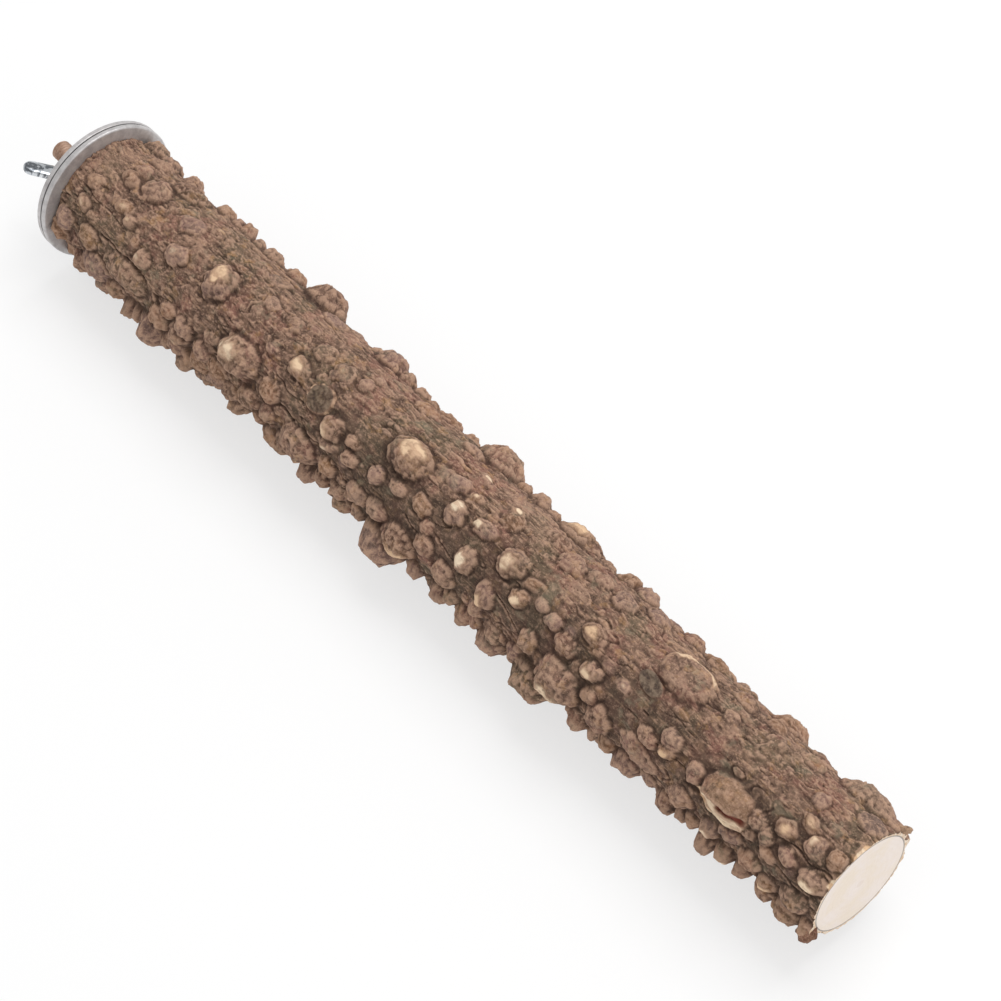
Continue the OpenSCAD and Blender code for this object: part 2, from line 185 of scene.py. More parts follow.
# %% A material under construction
class Finish:
    """A material whose nodes are added one by one and wired up as they come."""

    def __init__(self, name):
        self.material = bpy.data.materials.new(name)
        self.material.use_nodes = True
        self.tree = self.material.node_tree
        self.tree.nodes.clear()
        self.place = self.node("ShaderNodeTexCoord", {}, {}, "Object")

    def node(self, kind, settings, inputs, output=0):
        made = self.tree.nodes.new(kind)
        for setting, value in settings.items():
            setattr(made, setting, value)
        for name, value in inputs.items():
            if isinstance(value, Value):
                self.tree.links.new(value.socket, made.inputs[name])
            else:
                made.inputs[name].default_value = value
        return Value(self, made.outputs[output]) if made.outputs else None

    def attribute(self, name):
        """A number that the mesh stores at each of its points."""
        return self.node("ShaderNodeAttribute", {"attribute_name": name}, {}, "Fac")

    def coordinate(self, axis):
        """The place's X, Y or Z alone."""
        return self.node("ShaderNodeSeparateXYZ", {}, {"Vector": self.place}, axis)

    def off_axis(self):
        """The distance to the axis of the log, which is the root of Y * Y + Z * Z."""
        y = self.coordinate("Y")
        z = self.coordinate("Z")
        return (y * y + z * z) ** 0.5

    def stretched(self, x, y, z):
        """The place on the object, multiplied along each axis."""
        return self.node("ShaderNodeMapping", {}, {"Vector": self.place, "Scale": (x, y, z)})

    def noise(self, vector, scale, detail=3.0, roughness=0.55, distortion=0.0):
        inputs = {"Vector": vector, "Scale": scale, "Detail": detail}
        inputs.update({"Roughness": roughness, "Distortion": distortion})
        return self.node("ShaderNodeTexNoise", {}, inputs)

    def blend(self, share, first, second, mode="MIX"):
        """Colour that goes from the first to the second as the share goes from 0 to 1."""
        inputs = {0: share, 6: first, 7: second}
        return self.node("ShaderNodeMix", {"data_type": "RGBA", "blend_type": mode}, inputs, 2)

    def coats(self, colour, *rows):
        """A colour with coats over it: each row is the share that a coat covers and its web colour."""
        for share, code in rows:
            colour = self.blend(share, colour, paint(code))
        return colour

    def bump(self, height, strength, distance):
        inputs = {"Strength": strength, "Distance": distance, "Height": height}
        return self.node("ShaderNodeBump", {}, inputs)

    def surface(self, **sockets):
        """Closes the material with a Principled shader. Names use _ for a space, as in Base_Color."""
        inputs = {name.replace("_", " "): value for name, value in sockets.items()}
        shader = self.node("ShaderNodeBsdfPrincipled", {}, inputs)
        self.node("ShaderNodeOutputMaterial", {}, {"Surface": shader})
        return self.material


print("shader helpers ready")

# %% [markdown]
# The perch lies on white paper. One wide lamp hangs overhead, a little to the far side, as the bright upper
# flank and the shadows under the knobs ask. A weak one beyond the free end lifts the sawn face, and an even
# pale sky fills the rest. All stay at a plain level, so a colour renders about as it is written. The paper
# itself looks whiter to the camera and to polished metal than the lamps make it: two thirds of what they
# see is pure white near the perch, where the rest keeps its shadow, and far away all of it is, like the sky
# that the camera sees.

# %% Floor, lamps and sky
FLOOR_SIZE = 6.0
FLOOR_Z = cad_low[2] - 0.6 * MM
LOG_MIDDLE = Vector((LOG_START + LOG_LENGTH / 2, 0.0, 0.0))
OVERHEAD = {"place": LOG_MIDDLE + Vector((0.0, 0.42, 1.05)), "size": 0.8, "power": 7.0}
END_FILL = {"place": LOG_MIDDLE + Vector((0.80, -0.10, 0.45)), "size": 0.5, "power": 0.7}
SKY_LEVEL = 0.6
PAPER_GLOW = 0.66
SHADOW_REACH = 0.4
WHITE_BEYOND = 1.2


def paper():
    """Diffuse white, mixed with a plain white of strength 1 for camera, mirror and glass rays."""
    finish = Finish("white_paper")
    mottle = finish.noise(finish.place, 3.0)
    colour = finish.blend(mottle, paint("#fbfbfb"), paint("#ffffff"))
    sheet = finish.node("ShaderNodeBsdfPrincipled", {}, {"Base Color": colour, "Roughness": 0.9})
    white = finish.node("ShaderNodeEmission", {}, {"Color": paint("#ffffff"), "Strength": 1.0})
    kinds = ("Is Camera Ray", "Is Glossy Ray", "Is Transmission Ray")
    rays = [finish.node("ShaderNodeLightPath", {}, {}, kind) for kind in kinds]
    away = finish.node("ShaderNodeVectorMath", {"operation": "LENGTH"}, {0: finish.place}, "Value")
    glow = away.step(SHADOW_REACH, WHITE_BEYOND) * (1.0 - PAPER_GLOW) + PAPER_GLOW
    seen = (rays[0] + rays[1] + rays[2]).clipped() * glow
    both = finish.node("ShaderNodeMixShader", {}, {0: seen, 1: sheet, 2: white})
    finish.node("ShaderNodeOutputMaterial", {}, {"Surface": both})
    return finish.material


def lay_floor():
    """A wide square just under the lowest point of the perch."""
    half = FLOOR_SIZE / 2
    corners = [(half * x, half * y, FLOOR_Z) for x, y in ((-1, -1), (1, -1), (1, 1), (-1, 1))]
    mesh = bpy.data.meshes.new("floor")
    mesh.from_pydata(corners, [], [(0, 1, 2, 3)])
    floor = bpy.data.objects.new("floor", mesh)
    bpy.context.scene.collection.objects.link(floor)
    mesh.materials.append(paper())


def hang_lamp(name, place, size, power):
    """A square area lamp that faces the middle of the log."""
    lamp = bpy.data.lights.new(name, "AREA")
    lamp.size = size
    lamp.energy = power
    holder = bpy.data.objects.new(name, lamp)
    holder.location = place
    holder.rotation_mode = "QUATERNION"
    holder.rotation_quaternion = (LOG_MIDDLE - place).to_track_quat("-Z", "Y")
    bpy.context.scene.collection.objects.link(holder)


def light_sky():
    """The same pale light from every direction, and plain white where the camera sees past the paper."""
    world = bpy.data.worlds.new("sky")
    world.use_nodes = True
    tree = world.node_tree
    rays = tree.nodes.new("ShaderNodeLightPath")
    level = tree.nodes.new("ShaderNodeMath")
    level.operation = "MAXIMUM"
    level.inputs[1].default_value = SKY_LEVEL
    tree.links.new(rays.outputs["Is Camera Ray"], level.inputs[0])
    tree.links.new(level.outputs[0], tree.nodes["Background"].inputs["Strength"])
    tree.nodes["Background"].inputs["Color"].default_value = (1.0, 1.0, 1.0, 1.0)
    bpy.context.scene.world = world


lay_floor()
hang_lamp("overhead", **OVERHEAD)
hang_lamp("end_fill", **END_FILL)
light_sky()
bpy.context.scene.view_settings.view_transform = "Standard"
print("stage set, floor at", round(FLOOR_Z, 4))

# %% [markdown]
# Nature is never plain, so the bark needs noise: numbers that wander smoothly from place to place. Gradient
# noise gives every corner of a unit lattice a random slope, and a point takes the slopes' values from its
# cell's eight corners, blended by a smooth curve. Worked out on whole arrays, it costs a fraction of a
# second for every layer.

# %% Noise on whole arrays
SEED = 11
dice = np.random.default_rng(SEED)
LATTICE = 256
WRAP = LATTICE - 1
NOISE_GAIN = 1.6
SLOPES = dice.normal(size=(LATTICE, 3))
SLOPES /= np.linalg.norm(SLOPES, axis=1, keepdims=True)
SHUFFLE = dice.permutation(LATTICE)


def noise(points):
    """Gradient noise, about -1 to 1: slopes at the cell's corners, blended by 6t^5 - 15t^4 + 10t^3."""
    cell = np.floor(points).astype(np.int64)
    inside = points - cell
    fade = inside**3 * (inside * (inside * 6 - 15) + 10)
    total = np.zeros(points.shape[:-1])
    for corner in product((0, 1), repeat=3):
        x, y, z = ((cell[..., k] + corner[k]) & WRAP for k in range(3))
        slope = SLOPES[SHUFFLE[(SHUFFLE[(SHUFFLE[x] + y) & WRAP] + z) & WRAP]]
        share = np.prod(np.where(corner, fade, 1 - fade), axis=-1)
        total += share * np.sum(slope * (inside - corner), axis=-1)
    return total * NOISE_GAIN


def layered(points, layers):
    """Noise with finer noise on it: each layer is twice as fine and half as strong."""
    shift = np.array([17.3, 5.9, 9.1])
    return sum(noise(points * 2**k + shift * k) / 2**k for k in range(layers))


def ramp(value, low, high):
    """0 below low, 1 above high, with a smooth rise 3t^2 - 2t^3 between. Works with low above high too."""
    t = np.clip((value - low) / (high - low), 0, 1)
    return t * t * (3 - 2 * t)


print("noise at a point:", round(float(noise(np.array([0.3, 0.4, 0.5]))), 3))

# %% [markdown]
# A grid of points becomes a mesh with foreach_set, which copies whole arrays. The helper below closes the
# grid round the log, numbers its four-sided faces in one go, and stores extra numbers at the points for the
# materials.


# %% Arrays into meshes
def grid_faces(rows, columns, closed):
    """Point numbers of every four-sided face. A closed grid joins its last column to its first."""
    row = np.arange(rows - 1)[:, None]
    column = np.arange(columns if closed else columns - 1)[None, :]
    after = (column + 1) % columns
    here = row * columns
    beyond = (row + 1) * columns
    corners = [here + column, here + after, beyond + after, beyond + column]
    return np.stack(corners, axis=-1).reshape(-1, 4)


def add_mesh(name, points, faces, smooth, attributes=None, slots=None):
    """A mesh object from an array of points and an array of four-sided faces, at the origin."""
    mesh = bpy.data.meshes.new(name)
    mesh.vertices.add(len(points))
    mesh.vertices.foreach_set("co", np.ascontiguousarray(points, dtype=np.float32).ravel())
    mesh.loops.add(faces.size)
    mesh.loops.foreach_set("vertex_index", faces.astype(np.int32).ravel())
    mesh.polygons.add(len(faces))
    mesh.polygons.foreach_set("loop_start", np.arange(0, faces.size, 4, dtype=np.int32))
    mesh.polygons.foreach_set("use_smooth", np.broadcast_to(smooth, len(faces)).astype(bool))
    if slots is not None:
        mesh.polygons.foreach_set("material_index", slots.astype(np.int32))
    mesh.update(calc_edges=True)
    for key, values in (attributes or {}).items():
        stored = mesh.attributes.new(key, "FLOAT", "POINT")
        stored.data.foreach_set("value", np.ascontiguousarray(values, dtype=np.float32).ravel())
    piece = bpy.data.objects.new(name, mesh)
    bpy.context.scene.collection.objects.link(piece)
    return piece


# %% [markdown]
# The log comes from a prickly tree. Its bark grows corky knobs: some as wide as a thumb with worn, pale
# crowns, most as small as peas. The ones that the photograph shows are listed, one row each:
# distance from the clamp plane, angle round the log from straight up, length, width and height, all in
# millimetres and degrees, and how pale the worn crown is. Where a row has two more numbers, they move that
# crown off the middle of the knob, along the log and round it, in halves of the knob's own size. The side
# that faces away gets its knobs from even steps along the log and golden steps round it. Some knobs are odd
# ones: a flat boss, one split open, a round disc and a bare scar.

# %% Knobs of the upper side
UPPER_KNOBS = [
    (6, -62, 9, 9, 3.0, 0.1), (13, -60, 8, 8, 2.4, 0.1), (23, -62, 8, 8, 3.0, 0.1),
    (37.5, -62, 8, 7, 2.6, 0.1), (43.5, -60, 5, 5, 2.6, 0.1), (46.5, -64, 6.5, 6, 3.3, 0.1),
    (53, -62, 5, 5, 1.9, 0.1), (59, -62, 8, 7, 2.5, 0.1), (69, -62, 7.5, 7, 2.6, 0.1),
    (82, -62, 15.5, 12, 5.5, 0.1), (97, -60, 6, 5, 0.9, 0.0), (110.5, -62, 11.5, 11, 4.0, 0.1),
    (117, -61, 6, 6, 2.7, 0.1), (123.5, -62, 6, 6, 1.9, 0.1), (128.5, -60, 5, 5, 1.5, 0.1),
    (135, -62, 9, 7, 1.8, 0.1), (155.5, -62, 16.5, 12.5, 5.5, 0.1), (165, -60, 5, 5, 2.0, 0.1),
    (171, -62, 7.5, 7, 3.2, 0.3), (176.5, -60, 5, 5, 1.5, 0.1), (187, -62, 17, 11, 3.6, 0.8, -0.2, 0.3),
    (197, -60, 5, 5, 1.0, 0.0), (205, -62, 7.5, 7, 2.8, 0.1), (211.5, -62, 8, 7, 2.9, 0.1),
    (222.5, -62, 5, 5, 0.8, 0.1), (229, -62, 8, 7, 2.2, 0.1), (237.5, -62, 9, 6, 1.9, 0.1),
    (246.5, -62, 5.5, 6, 1.6, 0.1), (254.5, -60, 6, 5, 0.6, 0.0), (261.5, -62, 9, 8, 2.6, 0.1),
    (275, -60, 9, 6, 1.0, 0.0), (290.5, -62, 19, 12, 3.7, 0.1), (299, -60, 8, 8, 1.8, 0.2),
    (30, -32, 12, 9, 2.0, 0.1), (49.5, -16, 8, 4, 0.9, 0.6), (72, -24, 8, 5, 1.0, 0.0),
    (118, -14, 3.4, 3, 1.1, 0.5), (132, -34, 9, 6, 1.3, 0.0), (150, -36, 8, 5, 1.4, 0.1),
    (161, -14.5, 5.6, 2.6, 1.0, 1.0, 0.0, 0.0), (174.5, -9, 4.6, 2.8, 1.2, 1.0, 0.0, 0.0),
    (187, -19, 8, 5.5, 1.6, 0.1), (195.5, -9, 9, 6.5, 1.8, 0.3), (203, -17, 8, 5, 1.5, 0.2),
    (212.5, -17, 7.5, 6.5, 1.8, 0.2), (220, -38, 8, 6, 1.4, 0.1), (252, -34, 9, 6, 1.5, 0.0),
    (267, -14, 6.5, 6, 1.6, 0.1), (276, -34, 7, 5, 1.4, 0.1), (285.5, -2, 4.5, 5, 1.4, 0.0),
    (297.5, -22, 9, 7, 1.3, 0.1), (15, -36, 8, 6, 1.4, 0.1), (91, -40, 9, 6, 1.2, 0.0),
]
print("upper knobs:", len(UPPER_KNOBS))

# %% Knobs of the front
FRONT_KNOBS = [
    (17, -9, 6.5, 5, 2.0, 0.1), (17, 5, 7, 5, 2.2, 0.3), (25.5, -3, 9.5, 8, 2.2, 0.3, 0.6, -0.3),
    (42, -2, 9, 6, 1.4, 0.0), (9.5, 26, 7, 4.5, 1.6, 0.3), (23, 26, 7, 4.6, 1.8, 0.65),
    (27.5, 32, 5.5, 4, 1.6, 0.6), (10.5, 46, 6, 4.2, 1.8, 0.85), (33, 41, 3.6, 2.6, 1.0, 0.5),
    (38, 48, 6.5, 5.5, 2.2, 0.6, -0.4, -0.1), (46.5, 26, 8, 6.5, 2.0, 0.5),
    (63, 19, 10.5, 11, 4.2, 1.0, 0.0, -0.25), (71, 58, 6, 4, 1.2, 0.0),
    (82, 54, 16, 11, 4.4, 0.9, -0.3, -0.2), (78.5, 2, 6, 4.5, 1.0, 0.1), (88.5, 1, 6, 5, 1.2, 0.3),
    (101.5, 2, 7.5, 6, 1.4, 0.1), (110, 5, 7.5, 6.5, 1.6, 0.5, 0.0, 0.0), (117, -1, 4.6, 4.6, 1.2, 0.0),
    (99.8, 26, 8, 6, 2.2, 1.0, -0.05, 0.0), (95.7, 58, 8.5, 6.6, 2.6, 0.3),
    (119, 45, 8.4, 7.4, 3.2, 0.9, -0.15, 0.3), (120, 58.5, 8, 3.6, 1.8, 0.6, -0.1, 0.4),
    (126.5, 41, 5.6, 4, 2.0, 0.4), (128.2, 54, 6.5, 4.2, 2.0, 0.5, -0.5, 0.2),
    (137.8, 48, 5.6, 5.6, 2.2, 0.2), (145.4, 44, 6.6, 4, 2.0, 0.4),
    (142.3, 19, 15.5, 10.5, 4.4, 0.95, 0.1, -0.3), (154, 41, 7.6, 5, 2.2, 0.2),
    (158.7, 52, 5, 4, 1.6, 0.1), (157.5, 8, 7.6, 5, 1.5, 0.0), (164.3, 7, 4.6, 3, 1.4, 0.8),
    (163.2, 27, 7, 7, 2.6, 1.0, -0.1, -0.45), (172.5, 21, 8.6, 4.8, 2.2, 1.0, -0.55, -0.2),
    (176, 0, 7, 5.6, 1.7, 0.1), (173.5, 50, 7, 7.8, 3.0, 0.95, -0.2, 0.0),
    (184.8, 26, 9.6, 8, 3.6, 1.0, -0.1, 0.15), (183.3, 62, 6.6, 8, 3.0, 1.0, -0.2, 0.3),
    (192.2, 43, 6.6, 5, 2.4, 0.95, -0.15, 0.3), (193, 27, 5.6, 3, 1.0, 0.2),
    (198.6, 35, 4.8, 3.4, 1.6, 0.4), (203.7, 38, 5.6, 4.6, 2.0, 0.4), (210, 46, 7.6, 6, 2.4, 0.2),
    (214.5, 24, 8, 5.4, 2.2, 0.95, -0.2, 0.0), (220.2, 47, 7, 5.4, 2.8, 0.95, -0.2, 0.2),
    (200, 69, 6.6, 7, 3.0, 0.0), (222.5, 66, 6.5, 5, 2.0, 0.2), (214.5, 12, 3.6, 2, 0.8, 0.5),
    (229.5, 38, 4.6, 3, 1.0, 0.5), (242, 56, 7, 4.6, 2.2, 0.0), (248, 43, 7.2, 5.4, 2.6, 0.2),
    (248.6, 54, 6, 3.6, 2.6, 1.0, 0.0, 0.0), (257.5, 51, 5.6, 6, 2.0, 0.1), (267.5, -2, 7, 5, 0.8, 0.2),
    (277.5, 45, 6, 5.6, 2.0, 0.2), (281.8, 49, 5, 5, 1.8, 0.1), (277, 58, 5.2, 4, 1.6, 0.1),
    (284.8, 34, 6.6, 5, 2.2, 0.9, 0.1, 0.0), (288.4, 18, 6.2, 3.8, 1.8, 1.0, 0.0, 0.0),
    (293, 29, 6, 5.6, 2.2, 0.85, -0.4, -0.4), (288.8, 50, 6.6, 4, 2.2, 0.1), (284, 61, 6, 4, 1.8, 0.2),
    (297.3, 52, 9, 5.6, 2.8, 1.0, 0.0, 0.4), (299, 26, 5.6, 5.6, 2.2, 0.2),
]
print("front knobs:", len(FRONT_KNOBS))

# %% Knobs of the lower side
LOWER_KNOBS = [
    (6, 70, 8, 8, 2.4, 0.1), (17, 68, 9, 7, 2.2, 0.1), (34, 72, 18, 9, 3.0, 0.1),
    (53, 69, 7, 5, 1.8, 0.1), (60.5, 71, 8, 5.6, 2.4, 0.2), (69, 77, 7, 6, 2.4, 0.2),
    (4, 90, 8, 8, 2.6, 0.1), (21, 96, 14, 11, 3.6, 0.1), (13.5, 111, 9, 8, 4.2, 0.1),
    (22, 121, 9, 8, 3.9, 0.1), (29, 106, 8, 7, 3.2, 0.1), (35, 116, 6.5, 6, 4.9, 0.1),
    (39.5, 112, 5, 5, 4.0, 0.1), (46, 114, 12, 11, 6.6, 0.2), (50, 85, 9, 7, 3.2, 0.2),
    (53.5, 108, 7, 6, 3.8, 0.1), (60, 115, 9, 9, 5.0, 0.1), (58.5, 84, 9, 7.5, 3.0, 0.5),
    (58, 99, 8, 7, 3.4, 0.1), (68, 97, 10, 8, 2.6, 0.1), (72, 113, 12, 8, 2.2, 0.1),
    (76, 82, 10, 6.5, 2.2, 0.1), (82.5, 116, 8, 7, 3.9, 0.1), (81, 98, 9, 7, 2.8, 0.1),
    (89, 83, 9, 7, 2.4, 0.1), (100, 115, 13, 8, 3.4, 0.1), (97, 80, 7, 6, 2.4, 0.4),
    (93, 100, 7, 7, 1.6, 0.1), (110, 84, 14, 11, 3.8, 0.1), (105, 100, 9, 8, 3.2, 0.1),
    (113.5, 115, 8, 7, 5.1, 0.1), (119.5, 106, 6, 5.5, 3.0, 0.1), (122, 78, 7, 6, 2.2, 0.1),
    (127.5, 115, 10, 8, 4.1, 0.1), (127, 97, 8, 6.5, 3.0, 0.1), (134, 110, 7, 6, 2.8, 0.1),
    (134, 78, 9, 6, 2.6, 0.2), (145, 113, 17, 12.5, 7.9, 0.2), (142, 75, 8, 5.6, 2.4, 0.1),
    (151.5, 87, 13, 11, 4.4, 1.0, 0.1, 0.3), (157, 115, 6.5, 6, 3.8, 0.1), (160, 68, 7, 6, 2.2, 0.1),
    (167, 116, 8, 7, 4.4, 0.1), (169, 78, 9, 7, 2.8, 0.4), (171.5, 104, 6, 5.5, 3.0, 0.1),
    (176.5, 116, 8, 7, 4.7, 0.1), (182, 80, 6, 5, 2.6, 0.5), (181.5, 106, 6, 5.5, 2.8, 0.1),
    (187.5, 114, 12, 8, 5.2, 0.1), (189, 95, 8, 7, 3.0, 0.1), (203.5, 113, 17, 12.5, 7.0, 0.3),
    (197, 97, 7, 7, 3.2, 0.1), (212.5, 78, 16, 12.5, 5.2, 0.85, -0.15, 0.45), (211, 98, 9, 8, 3.4, 0.5),
    (219.5, 114, 10, 8, 4.5, 0.1), (225.5, 113, 5, 5, 3.2, 0.1), (227, 80, 9, 9, 2.8, 0.1),
    (230.5, 108, 7, 6, 2.8, 0.1), (237, 114, 10, 8, 4.0, 0.1), (241, 78, 14, 8, 2.0, 0.2),
    (245.5, 108, 6, 5.5, 2.0, 0.1), (252, 115, 8, 7, 4.2, 0.1), (256.5, 84, 8, 7, 2.6, 0.1),
    (257.3, 113, 5, 5, 3.1, 0.1), (261, 106, 6, 5.5, 2.9, 0.1), (266.5, 115, 8, 7, 5.4, 0.1),
    (267, 88, 6.5, 5.5, 2.8, 1.0, 0.0, 0.3), (272.5, 106, 6.5, 6, 4.1, 0.9, 0.0, 0.4),
    (273, 76, 8, 5, 1.8, 0.1), (278, 113, 5.5, 5.5, 3.5, 0.1), (280, 84, 8, 6, 2.4, 0.1),
    (286, 112, 8, 6.5, 3.3, 0.1), (286.5, 93, 6.5, 5.5, 3.0, 1.0, 0.0, 0.2),
    (293.5, 113, 12, 8, 4.1, 0.1), (295, 82, 9, 7, 2.4, 0.1), (300, 110, 6, 7, 3.7, 0.2),
]
print("lower knobs:", len(LOWER_KNOBS))

# %% Odd knobs
FLAT_KNOBS = [(239.5, -4, 18, 12.2, 2.2, 0.4)]
SPLIT_KNOBS = [(268.9, 49.5, 18, 11.5, 4.6, 0.5)]
DISC_KNOBS = [(110.8, 33, 9.4, 8.6, 0.9, 0.5)]
SCARS = [(234.3, 22, 9, 5, 0.7, 0.0)]
placed = UPPER_KNOBS + FRONT_KNOBS + LOWER_KNOBS + FLAT_KNOBS + SPLIT_KNOBS + DISC_KNOBS + SCARS
print("knobs in view:", len(placed))

# %% Knobs of the side that faces away
BACK_COUNT = 64
BACK_FROM = 132
BACK_TO = 284
GOLDEN = 0.618034
LONGEST_KNOB = 20.0
WIDEST_KNOB = 12.5
HIGHEST_KNOB = 8.0
BACK_SIZES = (0.40, 0.62, 0.50)


def back_knob(k):
    """Even steps along the log, golden steps round it, and three sizes in turn that a wave varies."""
    size = BACK_SIZES[k % 3] * (1 + 0.3 * math.sin(k * math.tau * GOLDEN))
    x = LOG_START / MM + (k + 0.5) / BACK_COUNT * LOG_LENGTH / MM
    angle = BACK_FROM + (BACK_TO - BACK_FROM) * (k * GOLDEN % 1)
    width = min(1, 1.25 * size) * WIDEST_KNOB
    return (x, angle, size * LONGEST_KNOB, width, 0.75 * size * HIGHEST_KNOB, (k * GOLDEN * 3) % 1 * 0.7)


BACK_KNOBS = [back_knob(k) for k in range(BACK_COUNT)]
print("knobs at the back:", len(BACK_KNOBS))

# %% [markdown]
# The bark is one height field wrapped round the wood: every point of a fine grid on the log gets a radius.
# It could be sculpted, or displaced in the material, but a height field on arrays lets each knob be placed
# and shaped by a formula, and the result is real geometry, so the outline is as rough as the surface. The
# steps: an even taper, slow swells, a skin that is stringy on the upper flank and crumbly elsewhere,
# fissures, small warts, then the knobs.

# %% The grid
QUARTERS = 4
ROWS = 250 * QUARTERS + 1
SIDES = 384
BARK_AT_CLAMP = 3.0
BARK_AT_FREE_END = 0.7
SWAY_MM = 1.1
along = np.linspace(0, 1, ROWS)[:, None]
angle = np.linspace(0, math.tau, SIDES, endpoint=False)[None, :]
x_mm = (LOG_START + along * LOG_LENGTH) / MM
core_mm = CORE_RADIUS / MM
hollow_mm = core_mm + BARK_AT_CLAMP + (BARK_AT_FREE_END - BARK_AT_CLAMP) * along + 0 * angle
skin = np.stack([x_mm + 0 * angle, -hollow_mm * np.sin(angle), hollow_mm * np.cos(angle)], axis=-1)
sway = np.stack([noise(skin / 8.0 + shift) for shift in (3, 43, 83)], axis=-1)
bent = skin + SWAY_MM * sway
print("bark grid", ROWS, "x", SIDES)

# %% The bark's own texture
SWELL_MM = 0.4
FIBRE_MM = 0.26
FINE_FIBRE_MM = 0.17
CRUMB_MM = 0.34
GRAIN_MM = 0.15
FLAKE_MM = 0.3
CRACK_MM = 0.5
STRINGY_TURN = -52
CALM_TURN = 50


def facing(turn, at=angle):
    """1 on the line at this turn round the log, in degrees, 0 a quarter turn off it and -1 opposite it."""
    return np.cos(at - math.radians(turn))


def fibrous(length, width, shift, layers=1):
    """Noise in cells this long and this wide, in millimetres, which sway from side to side."""
    return layered(bent / np.array([length, width, width]) + shift, layers)


def bark_texture():
    """Three heights in millimetres: slow swells, then fibres, crumbs and flakes in one, then cracks."""
    swell = SWELL_MM * layered(skin / 24.0, 2)
    side = facing(STRINGY_TURN) + ramp(x_mm, 60, 130) + 0.5 * noise(skin / 22.0 + 5)
    stringy = ramp(side, 0.6, 1.5)
    fibre = FIBRE_MM * fibrous(9.0, 1.6, 0) + FINE_FIBRE_MM * fibrous(5.0, 0.8, 7)
    crumbs = CRUMB_MM * fibrous(2.3, 1.7, 61, 2)
    grain = GRAIN_MM * fibrous(1.4, 0.9, 19, 2)
    flake = FLAKE_MM * ramp(fibrous(6.0, 2.4, 53), 0.02, 0.1)
    crack = CRACK_MM * ramp(np.abs(fibrous(18.0, 3.0, 31)), 0.06, 0.0) * patchy
    rough = stringy * fibre + (1 - 0.5 * stringy) * crumbs + grain + flake
    return swell, rough * (1 - 0.5 * band), crack


# Cracks come in patches. The band is the ground among the front knobs, which is smoother, and darker by
# painted shade.
patchy = ramp(noise(skin / 9.0 + 77), -0.15, 0.3)
band = ramp(x_mm, 85, 130) * ramp(np.abs(np.degrees(angle) - CALM_TURN), 36, 16)
swell_mm, fibre_mm, crack_mm = bark_texture()
print("cracks up to", round(float(crack_mm.max()), 2), "mm deep")

# %% [markdown]
# The tables of fissures and knobs give angles as they were read from the picture, on a plain round log.
# Half-way from the line that faces the camera to the outline, those readings came out a few degrees too
# small, so one formula moves them away from that line again.

# %% Angles read from the photograph
FACING_TURN = 26.5
PARALLAX = 4.0


def true_turn(turn):
    """Radians: the reading plus PARALLAX times the sine of twice its way off the facing line."""
    return math.radians(turn + PARALLAX * math.sin(2 * math.radians(turn - FACING_TURN)))


def turned_from(middle):
    """How far each column of the grid is turned from an angle, in radians, by the shorter way round."""
    return (angle - middle + math.pi) % math.tau - math.pi


twenty_off = math.degrees(true_turn(FACING_TURN + 20)) - FACING_TURN
print("20 degrees off the facing line is really", round(twenty_off, 1))

# %% [markdown]
# A few long fissures show in the photograph, mostly along the lower edge of a crowd of knobs and along the
# plain upper flank. Each row below is one of them: where it starts and ends, along the log and round it,
# then its depth and half its width. It runs straight between its ends but for the same sway as the fibres.

# %% Long fissures
FISSURES = [
    (20, 57, 31, 56, 0.9, 0.8), (31, 56, 41, 60, 0.9, 0.8), (41, 60, 50, 72, 0.9, 0.9),
    (39, -37, 60, -35, 0.7, 0.4), (76, -24, 105, -23, 0.5, 0.4), (124, -27, 152, -16, 0.5, 0.35),
    (150, -14, 183, -15, 0.45, 0.35), (183, -10, 193, -11, 0.5, 0.4), (198, -9, 207, -13, 0.5, 0.4),
    (209, -6, 218, -8, 0.5, 0.4), (73, 69, 88, 72, 1.1, 0.8), (98, 62, 118, 64, 0.8, 0.6),
    (118, 64, 132, 76, 0.8, 0.6), (231, 15, 240, 15, 0.6, 0.5), (243, 52, 250, 61, 0.9, 0.7),
    (255, 67, 280, 67, 1.0, 0.9), (280, 66, 300, 70, 0.6, 0.6), (284, 41, 302, 39, 0.8, 0.6),
    (150, 60, 162, 57, 0.6, 0.6), (186, 52, 196, 66, 0.8, 0.9), (52, 2, 66, 2, 0.5, 0.35),
    (5, 36, 30, 39, 0.5, 0.4),
]
SWAY_ALONG = 0.8
SWAY_ROUND = 1.9


def carve(fissure):
    """Depth of one fissure at every point: full on its line, none from half its width outwards."""
    x0, turn0, x1, turn1, depth, half_width = fissure
    run = x1 - x0
    rise = (true_turn(turn1) - true_turn(turn0)) * hollow_mm
    dx = x_mm - x0 + SWAY_ALONG * sway[..., 0]
    da = turned_from(true_turn(turn0)) * hollow_mm + SWAY_ROUND * sway[..., 1]
    share = np.clip((dx * run + da * rise) / (run**2 + rise**2), 0, 1)
    far = np.hypot(dx - share * run, da - share * rise)
    half_width = half_width * (0.5 + 0.7 * patchy)
    return depth * ramp(far, half_width, 0.1 * half_width) * ramp(np.abs(share - 0.5), 0.5, 0.4)


crack_mm = crack_mm + sum(carve(fissure) for fissure in FISSURES)
print("fissures:", len(FISSURES))

# %% [markdown]
# Between the knobs sit warts too small and too many to place by eye. Each layer of them divides the bark
# into even cells and puts at most one wart into each, off its middle by chance, so they neither line up nor
# pile up. They crowd on the front flank, as the knobs do.

# %% Small warts between the knobs
WART_CROWD_TURN = 80


